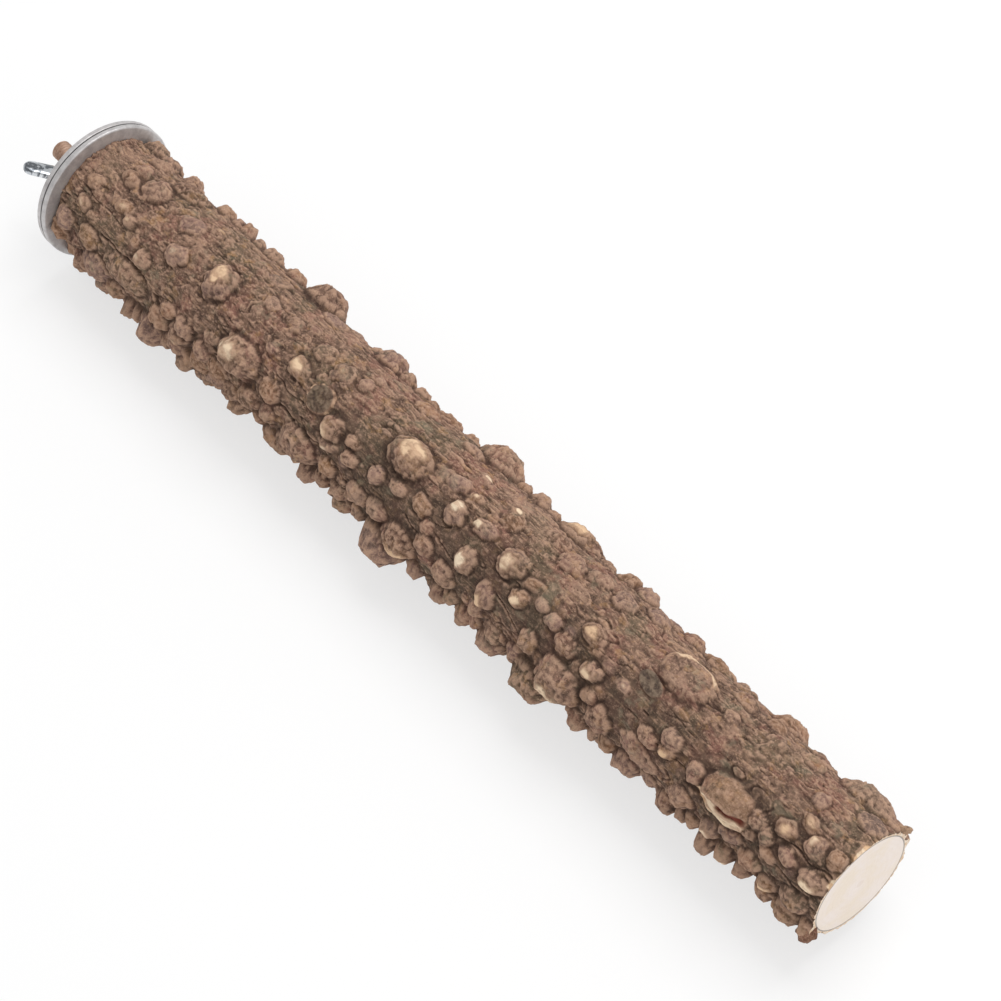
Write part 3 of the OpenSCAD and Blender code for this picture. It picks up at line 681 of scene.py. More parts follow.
def warts(cell_x, cells_round, keep, size, height, seed):
    """Round bumps, one to a cell: height times (1 - d^2)^0.8, with d the distance over the radius."""
    roll = np.random.default_rng(seed)
    cells_along = int(LOG_LENGTH / MM / cell_x) + 3
    chance, jitter_x, jitter_a, scale, shade = roll.random((5, cells_along, cells_round))
    cell_a = math.tau / cells_round
    row = np.floor((x_mm - LOG_START / MM) / cell_x).astype(int) + 1
    column = np.floor(angle / cell_a).astype(int)
    rise = np.zeros((ROWS, SIDES))
    tone = np.zeros((ROWS, SIDES))
    for step_x, step_a in product((-1, 0, 1), repeat=2):
        r = np.clip(row + step_x, 0, cells_along - 1)
        c = (column + step_a) % cells_round
        centre_x = (r - 1 + 0.2 + 0.6 * jitter_x[r, c]) * cell_x + LOG_START / MM
        centre_a = (column + step_a + 0.2 + 0.6 * jitter_a[r, c]) * cell_a
        radius = size * (0.55 + 0.45 * scale[r, c])
        far = ((x_mm - centre_x) / (1.25 * radius)) ** 2 + ((angle - centre_a) * hollow_mm / radius) ** 2
        crowd = keep * (0.35 + 0.65 * ramp(facing(WART_CROWD_TURN, centre_a), -0.2, 0.6))
        bump = np.where(chance[r, c] < crowd, height * scale[r, c] * np.clip(1 - far, 0, 1) ** 0.8, 0)
        tone = np.where(bump > rise, shade[r, c], tone)
        rise = np.maximum(rise, bump)
    return rise, tone


pea_mm, pea_tone = warts(cell_x=6.4, cells_round=15, keep=0.5, size=2.4, height=1.2, seed=5)
grit_mm, grit_tone = warts(cell_x=3.4, cells_round=28, keep=0.45, size=1.4, height=0.5, seed=9)
print("warts up to", round(float(pea_mm.max()), 2), "mm high")

# %% [markdown]
# Each knob is worked out only on the patch of the grid that it covers. Its outline is an oval with a few
# soft corners, turned a little and wobbled by noise, and it rises as a blunt cone with faint growth ledges.
# The cone leans, so its crown sits off to one side, and there the wear has left a small flat inside a fine
# groove. The patch keeps the highest knob at each point, so knobs that meet leave a crease.

# %% What the knobs share
LAYERS = ("rise", "knob", "tip", "tone", "red", "scar", "ring", "rim")
field = {key: np.zeros((ROWS, SIDES)) for key in (*LAYERS, "foot")}
wobble_u = noise(skin / 3.0 + 101) + 0.4 * noise(skin / 1.3 + 131)
wobble_v = noise(skin / 3.0 + 211) + 0.4 * noise(skin / 1.3 + 231)
crag = layered(bent / 2.0 + 307, 3)
pits = ramp(noise(skin / 1.1 + 501), 0.28, 0.6)
PLAIN_WOBBLE = 0.13
ODD_WOBBLE = 0.05
SQUARENESS = 2.15
CORNER_DEPTH = 0.035
TOO_LONG_TO_TURN = 15
PATCH_REACH = 0.75
# What chance picks between: lean in degrees, corners, their turn, width of the flank, place of the crown.
CHANCE_LOW = (-20, 3.6, 0, 0.5, -0.25, -0.25)
CHANCE_HIGH = (20, 6.4, math.tau, 0.8, 0.25, 0.25)


def patch_of(knob):
    """Rows and columns of the grid that a knob and the crevice round it can reach."""
    x, turn, length, width = knob[:4]
    reach = PATCH_REACH * max(length, width)
    rows = np.nonzero(np.abs(x_mm[:, 0] - x) < reach)[0]
    middle = true_turn(turn) / math.tau * SIDES
    half = int(reach / (core_mm * math.tau / SIDES)) + 2
    columns = np.arange(int(middle) - half, int(middle) + half + 1)
    return rows, columns


def measure(knob, plain, roll):
    """A knob's own coordinates: u along it and v across it, 1 at its edge, and d, how far from its middle."""
    x, turn, length, width, height, pale = knob[:6]
    rows, columns = patch_of(knob)
    spot = np.ix_(rows, columns % SIDES)
    lean, corners, twist, flank, loose_u, loose_v = roll.uniform(CHANCE_LOW, CHANCE_HIGH)
    lean = math.radians(lean) if length < TOO_LONG_TO_TURN else 0.0
    tip_u, tip_v = knob[6:] or (loose_u, loose_v)
    dx = x_mm[rows] - x
    da = (columns[None, :] * math.tau / SIDES - true_turn(turn)) * hollow_mm[spot]
    wobble = PLAIN_WOBBLE * min(1.0, 7 / length + 0.3) if plain else ODD_WOBBLE
    u = (dx * math.cos(lean) + da * math.sin(lean)) * 2 / length + wobble * wobble_u[spot]
    v = (da * math.cos(lean) - dx * math.sin(lean)) * 2 / width + wobble * wobble_v[spot]
    d = (np.abs(u) ** SQUARENESS + np.abs(v) ** SQUARENESS) ** (1 / SQUARENESS)
    if plain:
        d = d * (1 + CORNER_DEPTH * np.cos(round(corners) * np.arctan2(v, u) + twist))
    inside = np.clip(1 - d * d, 0, 1)
    cone = np.clip((1 - d) / flank, 0, 1)
    dome = (0.82 * cone * (1.3 - 0.3 * cone) + 0.18 * inside) * (1 + 0.3 * (u * tip_u + v * tip_v))
    rough = (0.34 * crag[spot] - 0.3 * pits[spot]) * inside**0.3 * min(1.0, height / 2.2)
    thin = 0.9 / min(length, width)
    rim = ramp(np.abs(d - 0.86), 1.5 * thin, 0.4 * thin) * ramp(crag[spot], -0.35, 0.15)
    return SimpleNamespace(
        spot=spot, u=u, v=v, d=d, tip_u=tip_u, tip_v=tip_v, height=height, pale=pale, inside=inside,
        dome=dome, rough=rough, rim=rim, crag=crag[spot], pits=pits[spot], share=ramp(d, 1.0, 0.75),
    )


print("layers of the knobs:", ", ".join(LAYERS))

# %% [markdown]
# Nearly all knobs are plain ones. Four odd forms show in the photograph once each: a low boss with a pale
# edge, a knob that has split open, a round grey disc, and the scar of a knob that broke off. Each shape is
# a function that gets a knob's measurements and gives the layers that it fills; the others stay at 0.

# %% Shapes of knobs
LEDGE_SHARE = 0.035
LEDGE_RATE = 15
GROOVE_MM = 0.12
BROKEN_EDGE_MM = 0.2


def plain_knob(k):
    """A blunt cone with faint ledges. Wear cuts its crown down to a flat, and a groove runs round that."""
    ledges = LEDGE_SHARE * np.sin(k.d * LEDGE_RATE + 2.5 * k.crag) * ramp(k.d, 0.25, 0.5) * k.inside**0.3
    off_u = (k.u - k.tip_u) / (0.33 + 0.16 * k.pale)
    off_v = (k.v - k.tip_v) / (0.26 + 0.15 * k.pale)
    tip_far = np.hypot(off_u, off_v) + 0.45 * k.crag
    worn = ramp(tip_far, 1.3, 0.3) * ramp(k.d, 1.0, 0.75)
    tip = k.pale * (0.68 * worn + 0.32 * ramp(tip_far, 2.2, 1.1))
    ring = ramp(np.abs(tip_far - 1.35), 0.26, 0.04) * (0.3 + 0.7 * k.pale)
    rise = k.height * (k.dome + ledges) + k.rough * (1 - 0.4 * worn * k.pale)
    rise = rise - GROOVE_MM * ring + BROKEN_EDGE_MM * k.rim
    rise = rise - 0.35 * worn * k.pale * np.maximum(rise - 0.9 * k.height, 0)
    return {"rise": rise, "tip": tip, "ring": ring, "rim": k.rim}


def flat_boss(k):
    """A low plateau with steep sides, and a pale strip along its upper edge that is widest at one corner."""
    rise = k.height * (0.8 * ramp(k.d, 1.0, 0.7) + 0.2 * k.inside) + 0.2 * (k.crag - k.pits) * k.share
    corner = ramp(k.u, 0.1, -0.5)
    strip = ramp(np.abs(k.d - 0.74), 0.12 + 0.12 * corner, 0.06) * ramp(k.v, -0.05, -0.4)
    return {"rise": rise, "tip": strip * (0.75 + 0.25 * corner), "rim": k.rim}


def round_disc(k):
    """A coin of old grey bark with a paler edge."""
    rise = k.height * (0.75 * ramp(k.d, 1.0, 0.82) + 0.25 * k.inside) + 0.3 * k.crag * k.share
    tip = 0.7 * ramp(np.abs(k.d - 0.92), 0.12, 0.04) * ramp(k.crag, -0.3, 0.3)
    return {"rise": rise, "tip": tip, "rim": k.rim, "scar": 0.9 * ramp(k.d, 0.9, 0.8)}


def split_open(k):
    """A knob that has burst: an eye with a pale lip round worn wood, and a dark red slit above it."""
    eye = np.hypot(k.u / 0.85, (k.v - 0.48) / 0.38)
    slit = ramp(np.abs(k.v - 0.24 + 0.1 * k.u), 0.17, 0.05) * ramp(np.abs(k.u - 0.35), 0.5, 0.3)
    lip = ramp(np.abs(eye - 1.0), 0.36, 0.12)
    rise = k.height * k.dome + 0.5 * k.rough - 0.8 * ramp(eye, 1.0, 0.7) - 1.0 * slit + 0.3 * lip
    worn = np.maximum(lip * ramp(k.v, 0.2, 0.5), 0.7 * ramp(eye, 1.05, 0.85))
    return {"rise": rise, "tip": worn * (1 - slit), "red": slit}


def bare_scar(k):
    """Almost level, and dark: the place where a knob broke off."""
    return {"rise": k.height * ramp(k.d, 1.0, 0.85) + 0.08 * k.crag, "scar": ramp(k.d, 0.98, 0.86)}


print("five shapes of knobs")

# %% Raise the knobs
KINDS = {
    plain_knob: UPPER_KNOBS + FRONT_KNOBS + LOWER_KNOBS + BACK_KNOBS,
    flat_boss: FLAT_KNOBS,
    split_open: SPLIT_KNOBS,
    round_disc: DISC_KNOBS,
    bare_scar: SCARS,
}


def raise_knob(knob, shape, roll):
    """Lays one knob over the field where it is the higher, and marks its foot for a crevice and for painted
    shadow.
    """
    k = measure(knob, shape is plain_knob, roll)
    new = {key: 0.0 for key in LAYERS}
    new.update(shape(k), knob=k.share, tone=roll.random())
    higher = new["rise"] > field["rise"][k.spot]
    for key in LAYERS:
        field[key][k.spot] = np.where(higher, new[key], field[key][k.spot])
    # The foot is a dip in the surface and also painted shadow, stronger on one side of the knob (high v),
    # below it.
    foot = ramp(np.abs(k.d - 1.07), 0.24, 0.02) * min(1.0, k.height / 2.5) * ramp(k.crag, -0.6, 0.3)
    foot = foot * (0.3 + 0.7 * ramp(k.v, -0.5, 0.7))
    field["foot"][k.spot] = np.maximum(field["foot"][k.spot], foot)


def raise_all():
    """Every knob in turn, from one dice that is always thrown in the same order."""
    roll = np.random.default_rng(SEED + 1)
    for shape, knobs in KINDS.items():
        for knob in knobs:
            raise_knob(knob, shape, roll)


raise_all()
print("highest knob", round(float(field["rise"].max()), 2), "mm")

# %% [markdown]
# The saw has chipped the bark's rim in two places, where raw inner bark shows. The chips are no more than a
# lower and paler stretch of the same height field.

# %% Chipped rim of the sawn end
# The middle of each chip round the log and half its width, in degrees.
CHIPS = [(5, 13), (45, 7)]
CHIP_LENGTH = 1.0
CHIP_DEPTH = 0.7


def chipped_rim():
    """1 on the last stretch of the rim, within so many degrees of each chip's middle, and 0 elsewhere."""
    end = LOG_END / MM
    share = np.zeros((ROWS, SIDES))
    for middle, half in CHIPS:
        away = np.abs(turned_from(math.radians(middle)))
        edge_x = end - CHIP_LENGTH * ramp(away, math.radians(half), math.radians(half) / 2) + 0.3 * wobble_u
        share = np.maximum(share, ramp(x_mm, edge_x - 0.2, edge_x + 0.4) * (away < math.radians(half)))
    return share


chipped = chipped_rim()
print("chipped points:", int((chipped > 0.5).sum()))

# %% [markdown]
# The layers join here. Warts sink where a knob covers them, the foot of each knob is cut back into a
# crevice, and fibres and cracks fade on the corky knobs. The bark never gets thinner than a third of a
# millimetre, so the shell stays closed.

# %% Join the layers
CREVICE_MM = 0.3
THINNEST_BARK = 0.35
on_ground = 1 - field["knob"]
small_mm = np.maximum(pea_mm, grit_mm) * on_ground
texture_mm = fibre_mm * (1 - 0.35 * field["knob"]) - crack_mm * (1 - 0.5 * field["knob"])
dip_mm = CREVICE_MM * field["foot"] * on_ground
radius_mm = hollow_mm + swell_mm + texture_mm + np.maximum(field["rise"], small_mm) - dip_mm
radius_mm = radius_mm - CHIP_DEPTH * chipped * (radius_mm - core_mm)
radius_mm = np.maximum(radius_mm, core_mm + THINNEST_BARK)
print("bark radius from", round(float(radius_mm.min()), 1), "to", round(float(radius_mm.max()), 1), "mm")

# %% [markdown]
# A blurred copy of the surface says what is hollow and what stands proud: points below their surroundings
# are crevices, which get painted shade and dirt, and points above them are edges, which wear pale and get
# painted highlights. Three blurs find the fine, the middling and the broad hollows. The upper flank gets
# painted light, and low ground, the band among the front knobs and the ground towards the free end get
# painted shade. All this is stored at the points as masks from 0 to 1, or about -1 to 1 for the light, and
# the materials read it there.


# %% Hollows and edges
def softened(values, reach):
    """A running mean taken three times both ways, close to a bell-shaped blur of this many points."""
    for _ in range(3):
        for axis in (0, 1):
            mode = "edge" if axis == 0 else "wrap"
            width = [(0, 0), (0, 0)]
            width[axis] = (reach + 1, reach)
            padded = np.pad(values, width, mode=mode)
            summed = np.cumsum(padded, axis=axis)
            span = 2 * reach + 1
            size = values.shape[axis]
            upper = np.take(summed, np.arange(span, span + size), axis=axis)
            lower = np.take(summed, np.arange(0, size), axis=axis)
            values = (upper - lower) / span
    return values


fine_gap = softened(radius_mm, 1) - radius_mm
middle_gap = softened(radius_mm, 3) - radius_mm
broad_gap = softened(radius_mm, 10) - radius_mm
depth = 0.5 * ramp(fine_gap, 0.03, 0.2) + 0.65 * ramp(middle_gap, 0.1, 0.6) + 0.55 * ramp(broad_gap, 0.2, 1.4)
# Painted shade and dirt: the hollows, the groove round each crown and the foot of each knob go dark.
crevice = np.clip(depth + 0.25 * field["ring"] + 0.4 * field["foot"] * on_ground, 0, 1) * (1 - chipped)
# Painted highlight and wear: points that stand proud, and the rims of knobs, are made pale.
edge = np.clip(ramp(-fine_gap, 0.03, 0.2) + 0.4 * ramp(-middle_gap, 0.15, 0.6), 0, 1)
print("share of the bark in crevices:", round(float(crevice.mean()), 2))

# %% Masks for the materials
# Painted light on the upper flank; painted shade on low ground, in the band among the front knobs and towards
# the free end.
LIT_FLANK_TURN = -50
lit_flank = ramp(facing(LIT_FLANK_TURN), 0.25, 0.9)
low_lying = ramp(softened(radius_mm, 16) - softened(radius_mm, 2), -0.2, 1.0)
shaded_ground = 0.4 * low_lying + 0.35 * ramp(x_mm, 230, 290) + 0.75 * band * on_ground
broad_patches = 0.6 * noise(skin / 13.0 + 401)
small_patches = 0.4 * noise(skin / 5.0 + 431)
wart_tone = np.where(pea_mm > grit_mm, pea_tone, grit_tone)
masks = {
    "knob": np.maximum(field["knob"], 0.8 * ramp(small_mm, 0.15, 0.8)),
    "tip": np.maximum(field["tip"], chipped),
    "crevice": crevice,
    # edges: pale from wear and from painted highlight
    "edge": np.maximum(edge, field["rim"]),
    "tone": np.where(field["knob"] > 0.05, field["tone"], wart_tone),
    # painted light and shade, plus random patches of lighter and darker bark
    "light": 0.15 * lit_flank - shaded_ground * (1 - lit_flank) + broad_patches + small_patches,
    "red": field["red"],
    "scar": field["scar"],
}
print("masks:", ", ".join(masks))

# %% [markdown]
# The bark's colour is a story of wear, with light and shade painted in. The valleys keep brown bark with grey
# and olive stains and get painted shade, the upper flank gets painted light, crevices are painted almost
# black with shade and dirt, the corky knobs are a pinkish tan, and their crowns are rubbed down to cream. All
# of it follows the masks stored at the points, broken up by noise stretched along the log, which is the way
# the fibres run. It is built up as a painter would do it, coat over coat, from the ground to the crowns.


# %% What the bark's colour is made from
def bark_parts(finish):
    """The masks and eight noises, from broad stains to fine flecks, under plain names."""
    along_fibres = finish.stretched(0.15, 1.0, 1.0)
    loosely_along = finish.stretched(0.4, 1.0, 1.0)
    noises = {
        "streaks": finish.noise(along_fibres, 1300.0, 3.0, 0.6, 0.5),
        "mottle": finish.noise(loosely_along, 380.0, 3.0, 0.6, 0.5),
        "crumbs": finish.noise(finish.place, 640.0, 3.0, 0.6),
        "flecks": finish.noise(finish.place, 2300.0, 2.0, 0.6),
        "stain": finish.noise(finish.place, 62.0, 3.0, 0.6),
        "blush": finish.noise(finish.place, 120.0, 3.0, 0.6),
        "patch": finish.noise(finish.place, 170.0, 3.0, 0.6),
        "ochre": finish.noise(finish.place, 260.0, 3.0, 0.6),
    }
    return SimpleNamespace(**{name: finish.attribute(name) for name in masks}, **noises)


def ground_with_painted_light(finish, bark):
    """Two browns under patches of red, olive and ochre, with painted light on top and painted shade in low
    places.
    """
    return finish.coats(
        finish.blend(bark.mottle.step(0.36, 0.64), paint("#513d34"), paint("#937768")),
        (bark.blush.step(0.48, 0.6) * 0.55, "#8c6057"),
        (bark.stain.step(0.5, 0.6) * 0.6, "#625b49"),
        (bark.ochre.step(0.56, 0.66) * 0.5, "#af8a60"),
        # painted light on the upper flank, then painted shade on low ground
        (bark.light.step(0.0, 0.8) * 0.45, "#b99a88"),
        ((0.0 - bark.light).step(0.0, 1.0) * 0.72, "#41362c"),
    )


def corky_knobs(finish, bark, colour):
    """No two knobs are alike: each has its own shade and its own hue, and tan shoulders round its crown."""
    hue = (bark.tone * 7.0).applied("FRACT")
    tan = finish.blend(bark.tone, paint("#a78567"), paint("#b1957e"))
    colour = finish.coats(
        colour,
        (bark.knob * bark.tone.step(0.5, 1.0) * 0.45, "#a88b7f"),
        (bark.knob * bark.tone.step(0.4, 0.0) * 0.5, "#5b4136"),
        (bark.knob * hue.step(0.65, 0.9) * 0.45, "#87706f"),
        (bark.knob * hue.step(0.35, 0.1) * 0.4, "#9c7757"),
    )
    return finish.blend(bark.tip.step(0.02, 0.4) * 0.55, colour, tan)


def fine_marks(finish, bark, colour, calm):
    """Pale and dark streaks, crumbs and flecks, edges pale from wear and painted highlight, and painted shade
    and dirt in crevices.
    """
    streaky = calm * (1.0 - 0.45 * bark.knob)
    return finish.coats(
        colour,
        (bark.streaks.step(0.53, 0.7) * streaky * 0.65, "#b8987f"),
        (bark.streaks.step(0.46, 0.3) * streaky * 0.65, "#44332a"),
        (bark.crumbs.step(0.53, 0.67) * calm * 0.6, "#bc9c89"),
        (bark.crumbs.step(0.46, 0.32) * calm * 0.6, "#433229"),
        (bark.patch.step(0.58, 0.68) * 0.35, "#8c8875"),
        # edges worn pale, with painted highlight
        (bark.edge * 0.62, "#c0a18e"),
        (bark.flecks.step(0.57, 0.7) * calm * 0.45, "#cfb19a"),
        (bark.flecks.step(0.43, 0.3) * calm * 0.35, "#3e2d26"),
        # painted shade and dirt in the crevices
        (bark.crevice * 0.7, "#37241c"),
    )


def bare_wood(finish, bark, colour):
    """Cream on the worn crowns, dark red in the slit, and weathered grey wood on the scars."""
    cream = finish.coats(
        finish.blend(bark.tone, paint("#e2c3a3"), paint("#f8ead4")),
        (bark.mottle.step(0.55, 0.35) * 0.6, "#b38f79"),
        (bark.crumbs.step(0.45, 0.32) * 0.5, "#9c7a68"),
    )
    crown = (bark.tip.step(0.3, 0.95) * (bark.mottle + 0.6)).clipped()
    colour = finish.blend(crown * 0.95, colour, cream)
    colour = finish.blend(bark.red * 0.9, colour, paint("#6b2618"))
    old_wood = finish.blend(bark.crumbs.step(0.4, 0.6), paint("#332c27"), paint("#6f6558"))
    return finish.blend(bark.scar * 0.8, colour, old_wood)


print("coats of the bark ready")

# %% Bark material
BARK_WARMTH = (1.05, 0.98, 0.89, 1.0)


def bark_material():
    """The coats in their order, one warm tint over them all, and a bump that is weaker where shade is
    painted.
    """
    finish = Finish("knobby_bark")
    bark = bark_parts(finish)
    calm = 1.0 - 0.5 * (0.0 - bark.light).step(0.0, 1.0)
    colour = corky_knobs(finish, bark, ground_with_painted_light(finish, bark))
    colour = bare_wood(finish, bark, fine_marks(finish, bark, colour, calm))
    colour = finish.blend(1.0, colour, BARK_WARMTH, "MULTIPLY")
    rough = 0.93 - 0.15 * bark.tip - 0.1 * bark.scar
    relief = (bark.streaks * 0.35 + bark.crumbs * 0.4 + bark.flecks * 0.25) * calm
    return finish.surface(Base_Color=colour, Roughness=rough, Normal=finish.bump(relief, 0.8, 0.0008))


BARK = bark_material()
print("bark nodes:", len(BARK.node_tree.nodes))

# %% [markdown]
# Where the saw went through the bark, the cut shows its layers: a thin grey line of cambium against the
# wood, then raw inner bark, cream and orange, which is widest where a knob was cut through, and a dark skin
# outside.


# %% Cut bark material
def cut_bark_material():
    """Specked cream, and grey within half a millimetre of the wood."""
    finish = Finish("cut_bark")
    speck = finish.noise(finish.place, 1400.0, 3.0, 0.6)
    raw = finish.blend(speck.step(0.35, 0.65), paint("#dcbb98"), paint("#f3e4d2"))
    line = finish.off_axis().step(CORE_RADIUS + 0.5 * MM, CORE_RADIUS + 0.2 * MM)
    colour = finish.blend(line, raw, paint("#a79f99"))
    return finish.surface(Base_Color=colour, Roughness=0.85, Normal=finish.bump(speck, 0.3, 0.0003))


CUT_BARK = cut_bark_material()
print("cut bark nodes:", len(CUT_BARK.node_tree.nodes))

# %% [markdown]
# The grid is cut into four quarters along the log, because a very heavy mesh is awkward to store. Each
# quarter is a closed shell: the rough outside, a smooth inside that fits the wood, and a flat ring at each
# end.


# %% Bark quarters
def shell_faces(count):
    """Faces of a shell whose points are this many outer rings, then the two end rings of its inside."""
    outside = grid_faces(count, SIDES, True)
    side = np.arange(SIDES)
    after = (side + 1) % SIDES
    outer_last = (count - 1) * SIDES
    inner_first = count * SIDES
    inner_last = inner_first + SIDES
    start_ring = [side, inner_first + side, inner_first + after, after]
    end_ring = [outer_last + side, outer_last + after, inner_last + after, inner_last + side]
    bore = [inner_first + side, inner_last + side, inner_last + after, inner_first + after]
    inner = [np.stack(corners, axis=-1) for corners in (start_ring, end_ring, bore)]
    faces = np.concatenate([outside, *inner])
    return faces, np.arange(len(faces)) < len(outside)


def bark_quarter(index):
    """One closed quarter of the bark: its rows of the height field outside, and the wood's radius inside."""
    first = index * (ROWS - 1) // QUARTERS
    last = (index + 1) * (ROWS - 1) // QUARTERS
    rows = slice(first, last + 1)
    reach = radius_mm[rows]
    outer = np.stack([x_mm[rows] + 0 * reach, -reach * np.sin(angle), reach * np.cos(angle)], axis=-1)
    tube = []
    for row in (first, last):
        place = x_mm[row, 0] + 0 * angle[0]
        tube.append(np.stack([place, -core_mm * np.sin(angle[0]), core_mm * np.cos(angle[0])], axis=-1))
    points = np.concatenate([outer.reshape(-1, 3), *tube]) * MM
    faces, smooth = shell_faces(last - first + 1)
    unworn = np.zeros(2 * SIDES)
    attributes = {key: np.concatenate([values[rows].ravel(), unworn]) for key, values in masks.items()}
    piece = add_mesh(f"bark_quarter_{index + 1}", points, faces, smooth, attributes, ~smooth)
    piece.data.materials.append(BARK)
    piece.data.materials.append(CUT_BARK)
    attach(piece, "log")
    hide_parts("bark")
    return piece


for number in range(QUARTERS):
    print(bark_quarter(number).name, "made")

# %% [markdown]
# Two crumbs of bark still cling to the sawn rim, pushed a little past the face by the saw. Each is a ball
# whose grid of points is squeezed to the crumb's length, width and height, then knocked out of round by
# noise. Both ends of the grid run to a point, so the shell is closed, and its foot is sunk in the bark.

# %% Crumbs on the rim
# Place: along the log and turn round it as in the tables of knobs, then radius. Sizes are in millimetres.
RIM_CRUMBS = {
    "rim_crumb_low": {
        "place": (300.6, 112.0, 17.0), "half": (2.3, 1.8, 2.5), "turn": 0.25, "light": -0.2, "pale": 0.0,
    },
    "rim_crumb_high": {
        "place": (301.6, -57.0, 16.6), "half": (1.8, 1.2, 1.0), "turn": 0.6, "light": 0.5, "pale": 0.45,
    },
}
CRUMB_ROWS = 40
CRUMB_COLUMNS = 60
CRUMB_BOXINESS = 0.85
CRUMB_DENTS = 0.22


def crumb_surface(place, half, turn):
    """A ball, (cos p, sin p cos t, sin p sin t), times the half sizes and 1 plus noise, turned and placed."""
    p = np.linspace(0, math.pi, CRUMB_ROWS)[:, None]
    t = np.linspace(0, math.tau, CRUMB_COLUMNS, endpoint=False)[None, :]
    ball = np.stack([np.cos(p) + 0 * t, np.sin(p) * np.cos(t), np.sin(p) * np.sin(t)], axis=-1)
    ball = np.sign(ball) * np.abs(ball) ** CRUMB_BOXINESS
    bulk = 1 + CRUMB_DENTS * layered(ball * 1.3 + place[0], 3)
    x, side, out = (ball[..., k] * bulk * half[k] for k in range(3))
    x, out = x * math.cos(turn) - out * math.sin(turn), out * math.cos(turn) + x * math.sin(turn)
    round_log = math.radians(place[1])
    radius = place[2] + out
    y = -radius * math.sin(round_log) - side * math.cos(round_log)
    z = radius * math.cos(round_log) - side * math.sin(round_log)
    points = np.stack([place[0] + x, y, z], axis=-1).reshape(-1, 3) * MM
    return points, grid_faces(len(p), t.size, True)


def make_crumb(name, place, half, turn, light, pale):
    """A crumb has one level of each mask all over."""
    points, faces = crumb_surface(place, half, turn)
    levels = dict.fromkeys(masks, 0.0)
    levels.update({"knob": 0.6, "tone": 0.6, "crevice": 0.1})
    levels.update({"tip": pale, "light": light, "red": 0.2 - 0.4 * pale})
    attributes = {key: np.full(len(points), level) for key, level in levels.items()}
    crumb = add_mesh(name, points, faces, True, attributes)
    crumb.data.materials.append(BARK)
    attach(crumb, "log")
    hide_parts("bark")


for crumb_name, crumb in RIM_CRUMBS.items():
    make_crumb(crumb_name, **crumb)
print("crumbs on the rim:", len(RIM_CRUMBS))

# %% [markdown]
# The free end is sawn square, and pale wood shows there. Wood seen end on is rings round the pith and fine
# pores, with the saw's own faint straight marks over them. The node is already a true round, so it only
# needs this finish, read from its distance to the log's axis.

# %% Sawn wood material
RING_RATE = 3600.0


def wood_material():
    """Rings are the sine of the distance to the axis, which drifts so that no ring is a true circle."""
    finish = Finish("sawn_wood")
    drift = finish.noise(finish.place, 90.0, 3.0, 0.6)
    radius = finish.off_axis() + (drift - 0.5) * 0.004
    rings = (radius * RING_RATE).applied("SINE") * 0.5 + 0.5
    cloud = finish.noise(finish.place, 120.0, 4.0, 0.6)
    pores = finish.noise(finish.place, 2600.0, 2.0, 0.6)
    saw = finish.noise(finish.stretched(1.0, 1.0, 0.08), 1500.0, 2.0, 0.5)
    colour = finish.coats(
        finish.blend(cloud.step(0.35, 0.65), paint("#f8ece4"), paint("#f6e8d8")),
        (rings * 0.06, "#dcc6b0"),
        (pores.step(0.6, 0.75) * 0.25, "#cdb49c"),
        (radius.step(0.0010, 0.0005) * 0.12, "#c9a98a"),
    )
    relief = saw * 0.6 + pores * 0.4
    return finish.surface(Base_Color=colour, Roughness=0.7, Normal=finish.bump(relief, 0.25, 0.0002))


def dress_node(name, material):
    """A node of the frame keeps its shape and takes a new finish."""
    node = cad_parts[name]
    node.data.materials.clear()
    node.data.materials.append(material)
    return node


print(dress_node("wood_core", wood_material()).name, "dressed")

# %% [markdown]
# The washers are stainless steel discs, stamped and tumbled: their faces carry faint turned lines and a
# soft grey sheen, and their rolled rims catch the light. A dark line of painted shade runs between the rims,
# where the two discs meet. The nodes have that very section, so they too only need a finish.

# %% Washer material
SEAM_SHADE_WIDTH = 0.3 * MM
RIM_FROM = WASHER_RADIUS - 0.9 * MM
RIM_FULL = WASHER_RADIUS - 0.5 * MM


def washer_material():
    """Turned lines are noise of the distance to the axis alone. The seam at X 0 on the rims is painted dark
    as shade.
    """
    finish = Finish("tumbled_steel")
    radius = finish.off_axis()
    turned = finish.node("ShaderNodeCombineXYZ", {}, {0: radius})
    lines = finish.noise(turned, 5200.0, 2.0, 0.6)
    scuff = finish.noise(finish.place, 380.0, 4.0, 0.65)
    at_rim = radius.step(RIM_FROM, RIM_FULL)
    # Painted shade: a dark line at X 0 on the rims, where the two washers meet.
    seam_shade = finish.coordinate("X").applied("ABSOLUTE").step(SEAM_SHADE_WIDTH, 0.3 * SEAM_SHADE_WIDTH) * at_rim
    colour = finish.blend(scuff.step(0.35, 0.7), paint("#d1cecd"), paint("#b8b4b4"))
    colour = finish.blend(seam_shade * 0.9, colour, paint("#2c2829"))
    rough = 0.34 + 0.14 * lines + 0.1 * scuff + 0.3 * seam_shade
    metal = 0.55 - 0.45 * seam_shade
    bump = finish.bump(lines * 0.7 + scuff * 0.3, 0.12, 0.0001)
    return finish.surface(Base_Color=colour, Metallic=metal, Roughness=rough, Normal=bump)


WASHER_STEEL = washer_material()
for washer in ("inner_washer", "outer_washer"):
    print(dress_node(washer, WASHER_STEEL).name, "dressed")

# %% [markdown]
# The hanger bolt is two screws on one shaft. Only its machine thread shows, a yellow passivated M6 with a
# pitch of one millimetre, rounded at the tip. The thread is a true helix: a grid runs round the bolt and
# along it, and the radius at each point follows a sharp ridge whose place climbs one pitch with every turn.

